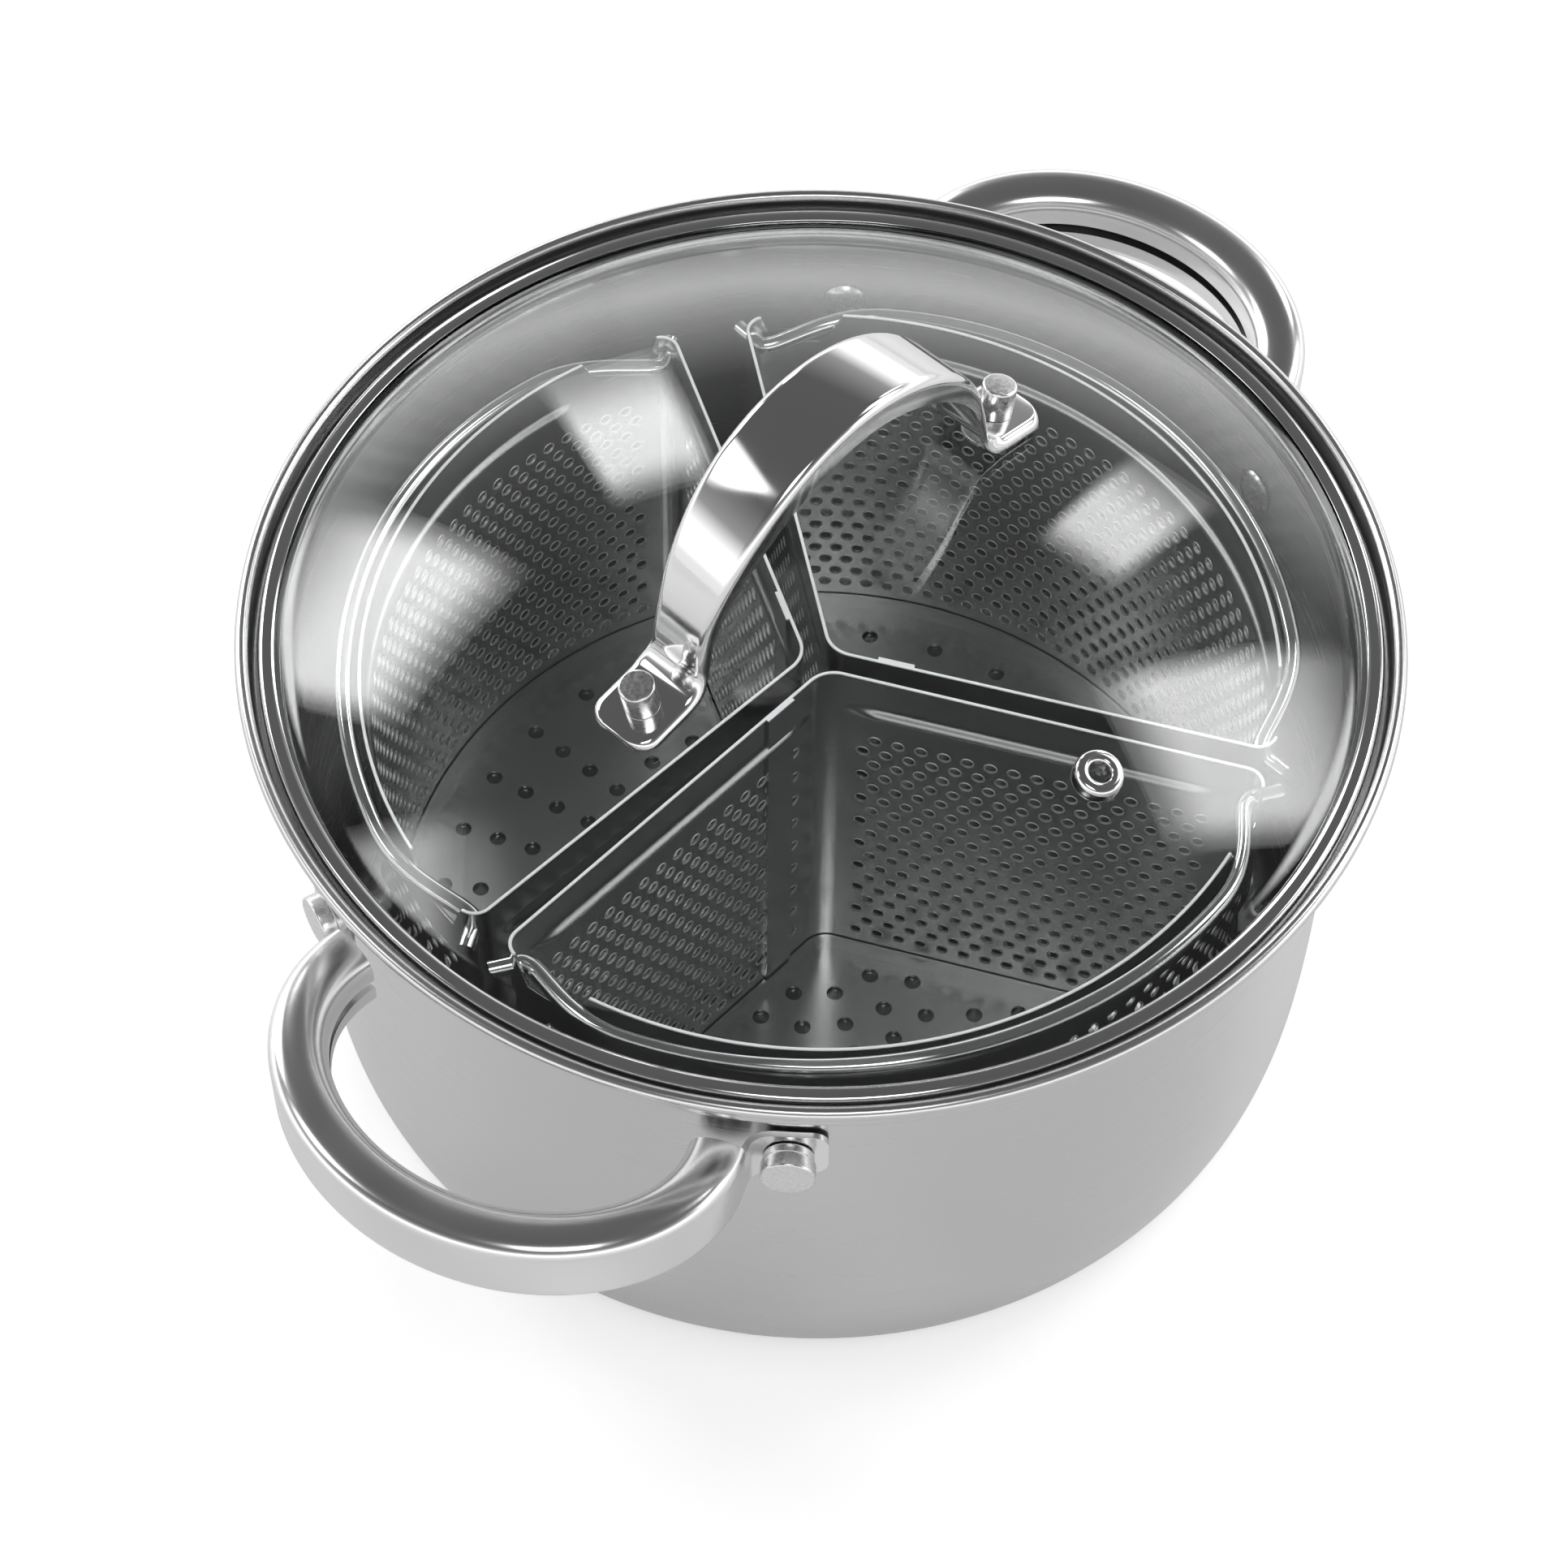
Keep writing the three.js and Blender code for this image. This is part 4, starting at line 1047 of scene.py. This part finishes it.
def rib_height(column, level, run):
    """How far the embossed rib stands in from a wall at a column and level."""
    off = abs(level - (BASKET_TOP - RIB_DROP)) / RIB_HALF_WIDTH
    if off >= 1 or run is None:
        return 0.0
    start, end, kind = run
    margin = RIB_MARGIN
    if kind == "outer":
        margin = (end - start) * (1 - RIB_SHARE) / 2 * COLUMN_PITCH
    along = min(column - start, end - column) * COLUMN_PITCH
    crest = RIB_RISE * math.cos(off * math.pi / 2) ** 2
    return crest * smoothstep(along, margin - RIB_MARGIN / 2, margin)


def wall_levels():
    """Heights of the wall's rows of vertices and the rows that holes fill."""
    top = BASKET_TOP - HOLES_BELOW_TOP
    bottom = top - HOLE_ROWS * HOLE_ROW_PITCH
    levels = [BASKET_BOTTOM, (BASKET_BOTTOM + bottom) / 2]
    first = len(levels)
    levels += [bottom + k * HOLE_ROW_PITCH for k in range(HOLE_ROWS + 1)]
    rib = BASKET_TOP - RIB_DROP
    levels += [rib + RIB_HALF_WIDTH * k / RIB_ROWS for k in range(-RIB_ROWS - 1, RIB_ROWS + 2)]
    levels += [BASKET_TOP - drop for drop in TOP_ROWS]
    return levels, range(first, first + HOLE_ROWS)


def notch_depth(point):
    """How far the top edge dips at a point, where the bail passes over the wall."""
    if point.length < BASKET_RADIUS - NOTCH_TOLERANCE:
        return 0.0
    off = abs(abs(math.degrees(math.atan2(point.y, point.x))) - NOTCH_ANGLE)
    reach = math.radians(off) * BASKET_RADIUS
    half = NOTCH_WIDTH / 2
    return NOTCH_DEPTH * (1 - smoothstep(reach, half - NOTCH_EASE, half + NOTCH_EASE))


def wall_holes():
    """The wall's holes as (column, row, place), a place being (middle, normal, along, level, curved)."""
    columns = outline()
    levels, hole_rows = wall_levels()
    out = []
    for start, end, kind in stretches(columns):
        for r in hole_rows:
            for c in range(start + 2 + (r % 2), end - 1, 2):
                point, normal, _ = columns[c]
                along = Vector((-normal.y, normal.x))
                if (columns[c + 1][0] - columns[c - 1][0]).dot(along) < 0:
                    along = -along
                level = (levels[r] + levels[r + 1]) / 2
                out.append((c, r, (point, normal, along, level, kind == "outer")))
    return out


def hole_ring(place, radius, inward):
    """A ring of points about a hole's middle, a depth in from the wall's outer face."""
    point, normal, along, level, curved = place
    ring = []
    for k in range(HOLE_SIDES):
        t = 2 * math.pi * k / HOLE_SIDES
        x, y = radius * math.cos(t), radius * math.sin(t)
        bend = x * x / (2 * BASKET_RADIUS) if curved else 0.0
        flat = point + along * x - normal * (inward + bend)
        ring.append((flat.x, flat.y, level + y))
    return ring


def hole_burrs():
    """The low rolled burr round each hole, on the wall's inner face."""
    verts, faces = [], []
    for _, _, place in wall_holes():
        rings = []
        for radius, rise in BURR:
            rings.append(added(verts, hole_ring(place, HOLE_RADIUS + radius, BASKET_SHEET + rise)))
        faces.extend(bands(rings))
    return verts, faces


def basket_wall():
    """The perforated strip bent round the sector."""
    columns = outline()
    levels, hole_rows = wall_levels()
    base = levels[hole_rows.stop]
    count, rows = len(columns), len(levels)
    runs = stretches(columns)
    verts, faces = [], []

    def run_of(column):
        return next((run for run in runs if run[0] <= column <= run[1]), None)

    def add(point, normal, level, inward):
        flat = point - normal * inward
        verts.append((flat.x, flat.y, level))
        return len(verts) - 1

    grid = {}
    for c, (point, normal, _) in enumerate(columns):
        dip = notch_depth(point)
        run = run_of(c)
        for r, level in enumerate(levels):
            rib = rib_height(c, level, run)
            if level > base:
                level = base + (level - base) * (BASKET_TOP - dip - base) / (BASKET_TOP - base)
            ease = TOP_EASE if r == rows - 1 else 0.0
            grid[c, r, 0] = add(point, normal, level, rib + ease)
            grid[c, r, 1] = add(point, normal, level, rib + BASKET_SHEET - ease)

    holed = set()
    corners = [(-1, -1), (0, -1), (1, -1), (1, 1), (0, 1), (-1, 1)]
    shape = [(x * COLUMN_PITCH, y * HOLE_ROW_PITCH / 2) for x, y in corners]
    fill = ring_fill(shape, HOLE_SIDES)
    for c, r, place in wall_holes():
        holed.update(((c - 1, r), (c, r)))
        rings = []
        for side in (0, 1):
            ring = added(verts, hole_ring(place, HOLE_RADIUS, side * BASKET_SHEET))
            edge = [grid[c + x, r + (y + 1) // 2, side] for x, y in corners]
            lookup = {"corner": edge, "ring": ring}
            faces.extend([lookup[kind][k] for kind, k in triple] for triple in fill)
            rings.append(ring)
        faces.extend(bands(rings))

    for c in range(count):
        n = (c + 1) % count
        for r in range(rows - 1):
            if (c, r) in holed:
                continue
            cell = ((c, r), (n, r), (n, r + 1), (c, r + 1))
            for side in (0, 1):
                faces.append([grid[column, row, side] for column, row in cell])
        for r in (0, rows - 1):
            faces.append([grid[c, r, 0], grid[n, r, 0], grid[n, r, 1], grid[c, r, 1]])
    return verts, faces


def basket_lap():
    """The end of the strip lapped over its start, a plate inside one straight wall."""
    out = Vector((-math.sin(BASKET_HALF), -math.cos(BASKET_HALF)))
    along = Vector((math.cos(BASKET_HALF), -math.sin(BASKET_HALF)))
    low, high = BASKET_BOTTOM + FLOOR_EDGE + FLOOR_THICKNESS, BASKET_TOP
    verts = []
    for length in (LAP_START, LAP_START + LAP_WIDTH):
        for depth in (BASKET_SHEET - LAP_SINK, 2 * BASKET_SHEET):
            point = Vector((BASKET_APEX, 0)) + along * length - out * depth
            verts += [(point.x, point.y, low), (point.x, point.y, high)]
    faces = [(0, 1, 3, 2), (4, 5, 7, 6), (0, 1, 5, 4), (2, 3, 7, 6), (0, 2, 6, 4), (1, 3, 7, 5)]
    return verts, faces


def strip(inset, sheet, low, high):
    """A plain upright strip round the sector."""
    verts, rings = [], []
    for (p, _, _), (q, _, _) in zip(outline(inset), outline(inset + sheet)):
        section = [(p.x, p.y, low), (p.x, p.y, high), (q.x, q.y, high), (q.x, q.y, low)]
        rings.append(added(verts, section))
    return verts, bands(rings, closed=True)


def floor_holes():
    """Middles of the floor's holes, in rings about the pot's axis."""
    inside = BASKET_APEX + FLOOR_MARGIN / math.sin(BASKET_HALF)
    out = []
    for radius, step in FLOOR_RINGS:
        reach = int(FLOOR_HALF_SPAN / step) + 1
        offset = 0.5 if step == FLOOR_FINE_STEP else 0.0
        for k in range(-reach, reach + 1):
            t = math.radians((k + offset) * step)
            x, y = radius * math.cos(t), radius * math.sin(t)
            wall = (x - inside) * math.sin(BASKET_HALF) - abs(y) * math.cos(BASKET_HALF)
            if wall > 0:
                out.append((x, y))
    return out


def basket_floor():
    """The floor's plate with its holes, and its upturned edge."""
    inset = BASKET_SHEET + FLOOR_GAP
    data = bpy.data.curves.new("floor_plate", "CURVE")
    data.dimensions = "2D"
    data.fill_mode = "BOTH"
    data.extrude = FLOOR_THICKNESS / 2
    loops = [[(p.x, p.y) for p, _, _ in outline(inset + FLOOR_PLATE_INSET)]]
    last_turn = 360 - 360 / FLOOR_HOLE_SIDES
    loops += [arc(x, y, FLOOR_HOLE, 0, last_turn, FLOOR_HOLE_SIDES - 1) for x, y in floor_holes()]
    for loop in loops:
        spline = data.splines.new("POLY")
        spline.points.add(len(loop) - 1)
        for point, (x, y) in zip(spline.points, loop):
            point.co = (x, y, 0, 1)
        spline.use_cyclic_u = True
    carrier = bpy.data.objects.new("floor_plate", data)
    mesh = bpy.data.meshes.new_from_object(carrier)
    middle = BASKET_BOTTOM + FLOOR_THICKNESS / 2
    verts = [v.co + Vector((0, 0, middle)) for v in mesh.vertices]
    faces = [list(face.vertices) for face in mesh.polygons]
    bpy.data.objects.remove(carrier)
    bpy.data.curves.remove(data)
    bpy.data.meshes.remove(mesh)
    edge = strip(inset, BASKET_SHEET, BASKET_BOTTOM + FLOOR_EDGE_LIFT, BASKET_BOTTOM + FLOOR_EDGE)
    return merged((verts, faces), edge)


def bail():
    """A wire bail about its pivot along Y."""
    middle = basket_corner()
    hole = middle.y + BASKET_CORNER_ROUND
    inner = hole - BAIL_INSIDE
    t = math.radians(BAIL_HALF_ARC)
    end = Vector((BAIL_RADIUS * math.cos(t) - middle.x, BAIL_RADIUS * math.sin(t), 0))
    ease = end + Vector((-math.sin(t), math.cos(t), 0)) * BAIL_EASE_OUT
    half = [Vector((0, hole + BAIL_STUB, 0)), Vector((0, hole, 0))]
    half += curve(((0, inner, 0), (0, inner - BAIL_EASE_IN, 0), ease, end), 36)
    outer = arc(-middle.x, 0, BAIL_RADIUS, BAIL_HALF_ARC, 0, 40)[1:]
    half += [Vector((x, y, 0)) for x, y in outer]
    path = half + [Vector((p.x, -p.y, 0)) for p in half[-2::-1]]
    section = arc(0, 0, WIRE, 0, 360 - 360 / ROUND_WIRE, ROUND_WIRE - 1)
    wire = sweep(path, (0, 0, 1), lambda i: section)
    return moved(wire, turn(-BAIL_TILT, "Y"), shift(middle.x, 0, PIVOT_LEVEL))


def make_baskets():
    wall = merged(basket_wall(), basket_lap())
    burrs = hole_burrs()
    floor = basket_floor()
    wire = bail()
    for name, degrees in BASKETS.items():
        place = turn(degrees, "Z")
        body = f"{name}_basket"
        node = f"basket_wall_{name}"
        piece(f"strainer_{name}", moved(wall, place), body, "basket_steel", [node])
        piece(f"burrs_{name}", moved(burrs, place), body, "basket_steel", [node], finish="sheared_steel")
        piece(f"pan_{name}", moved(floor, place), body, "basket_steel", [f"basket_floor_{name}"])
        piece(f"grip_{name}", moved(wire, place), f"{name}_bail", "polished_steel", [f"bail_{name}"])


# Studio


def make_world():
    """White round the horizon and dim overhead, and plain white where the camera sees it."""
    world = bpy.data.worlds.new("studio")
    bpy.context.scene.world = world
    world.use_nodes = True
    nodes = Nodes(world.node_tree)
    shade = nodes.tree.nodes["Background"]
    output = nodes.tree.nodes["World Output"]
    place = nodes.node("ShaderNodeTexCoord")
    split = nodes.node("ShaderNodeSeparateXYZ")
    ramp = nodes.node("ShaderNodeValToRGB")
    elements = ramp.color_ramp.elements
    while len(elements) < len(WORLD_RAMP):
        elements.new(0.5)
    for element, (position, value) in zip(elements, WORLD_RAMP):
        element.position = position
        element.color = (*grey(value), 1)
    path = nodes.node("ShaderNodeLightPath")
    mix = nodes.node("ShaderNodeMixShader")
    white = nodes.node("ShaderNodeBackground", Color=(1, 1, 1, 1))
    nodes.link(place.outputs["Generated"], split.inputs[0])
    nodes.link(nodes.ranged(split.outputs["Z"], old=(-1.0, 1.0)), ramp.inputs["Fac"])
    nodes.link(ramp.outputs["Color"], shade.inputs["Color"])
    nodes.link(path.outputs["Is Camera Ray"], mix.inputs[0])
    nodes.link(shade.outputs[0], mix.inputs[1])
    nodes.link(white.outputs[0], mix.inputs[2])
    nodes.link(mix.outputs[0], output.inputs["Surface"])


def soften(light):
    """Fades a panel towards its edges."""
    light.use_nodes = True
    nodes = Nodes(light.node_tree)
    place = nodes.node("ShaderNodeNewGeometry")
    split = nodes.node("ShaderNodeSeparateXYZ")
    nodes.link(place.outputs["Parametric"], split.inputs[0])
    strength = 1.0
    for axis, span in PANEL_FADES:
        fade = nodes.ranged(split.outputs[axis], span, (PANEL_DIM, 1.0), "SMOOTHSTEP")
        strength = nodes.maths("MULTIPLY", strength, fade)
    nodes.link(strength, nodes.tree.nodes["Emission"].inputs["Strength"])


def make_panels():
    """Soft panels round the pot, each facing it."""
    for name, (azimuth, elevation, width, height, radiance) in PANELS.items():
        light = bpy.data.lights.new(name, "AREA")
        light.shape = "RECTANGLE"
        light.size = width
        light.size_y = height
        light.energy = radiance * math.pi * width * height
        soften(light)
        obj = placed(name, light)
        a, e = math.radians(azimuth), math.radians(elevation)
        away = Vector((math.cos(a) * math.cos(e), math.sin(a) * math.cos(e), math.sin(e)))
        obj.location = away * PANEL_DISTANCE
        facing = Vector(STUDIO_TARGET) - away * PANEL_DISTANCE
        obj.rotation_euler = facing.to_track_quat("-Z", "Y").to_euler()


def make_floor():
    """A pale floor that keeps the shadow and shows white where it is lit."""
    half = FLOOR_SIZE / 2
    corners = [(-half, -half, 0), (half, -half, 0), (half, half, 0), (-half, half, 0)]
    mesh = bpy.data.meshes.new("floor")
    mesh.from_pydata(corners, [], [(0, 1, 2, 3)])
    floor = placed("floor", mesh)
    floor.location.z = -FLOOR_DROP
    finish = Finish("floor", grey(FLOOR_COLOR), metallic=0.0, roughness=0.3)
    finish.roughen(finish.noise(3), low=0.27, high=0.33)
    path = finish.node("ShaderNodeLightPath")
    glow = 0.0
    for rays, strength in FLOOR_GLOWS.items():
        seen = finish.maths("MULTIPLY", path.outputs[rays], strength)
        glow = finish.maths("MAXIMUM", glow, seen)
    finish.set(Emission_Color=(1, 1, 1, 1))
    finish.link(glow, finish.shader.inputs["Emission Strength"])
    mesh.materials.append(finish.material)


def make_camera():
    data = bpy.data.cameras.new("camera")
    data.sensor_width = SENSOR
    data.lens = SENSOR * FOCAL_PIXELS / IMAGE_PIXELS
    data.clip_start = CAMERA_NEAR
    camera = placed("camera", data)
    look = turn(CAMERA_HEADING, "Z") @ turn(90 - CAMERA_TILT, "X") @ turn(CAMERA_ROLL, "Z")
    camera.matrix_world = Matrix.Translation(Vector(CAMERA_PLACE) * MM) @ look
    bpy.context.scene.camera = camera


finishes = {
    "pot_steel": brushed_steel(),
    "polished_steel": polished_steel(),
    "handle_steel": handle_steel(),
    "rivet_steel": rivet_steel(),
    "basket_steel": basket_steel(),
    "sheared_steel": sheared_steel(),
    "core_aluminium": core_aluminium(),
    "silicone": silicone(),
    "lid_glass": lid_glass(),
}
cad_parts["base_core"].data.materials.clear()
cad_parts["base_core"].data.materials.append(finishes["core_aluminium"])

make_pot()
make_lid()
make_baskets()
make_world()
make_panels()
make_floor()
make_camera()
bpy.context.scene.view_settings.view_transform = "Standard"

bpy.context.view_layer.update()
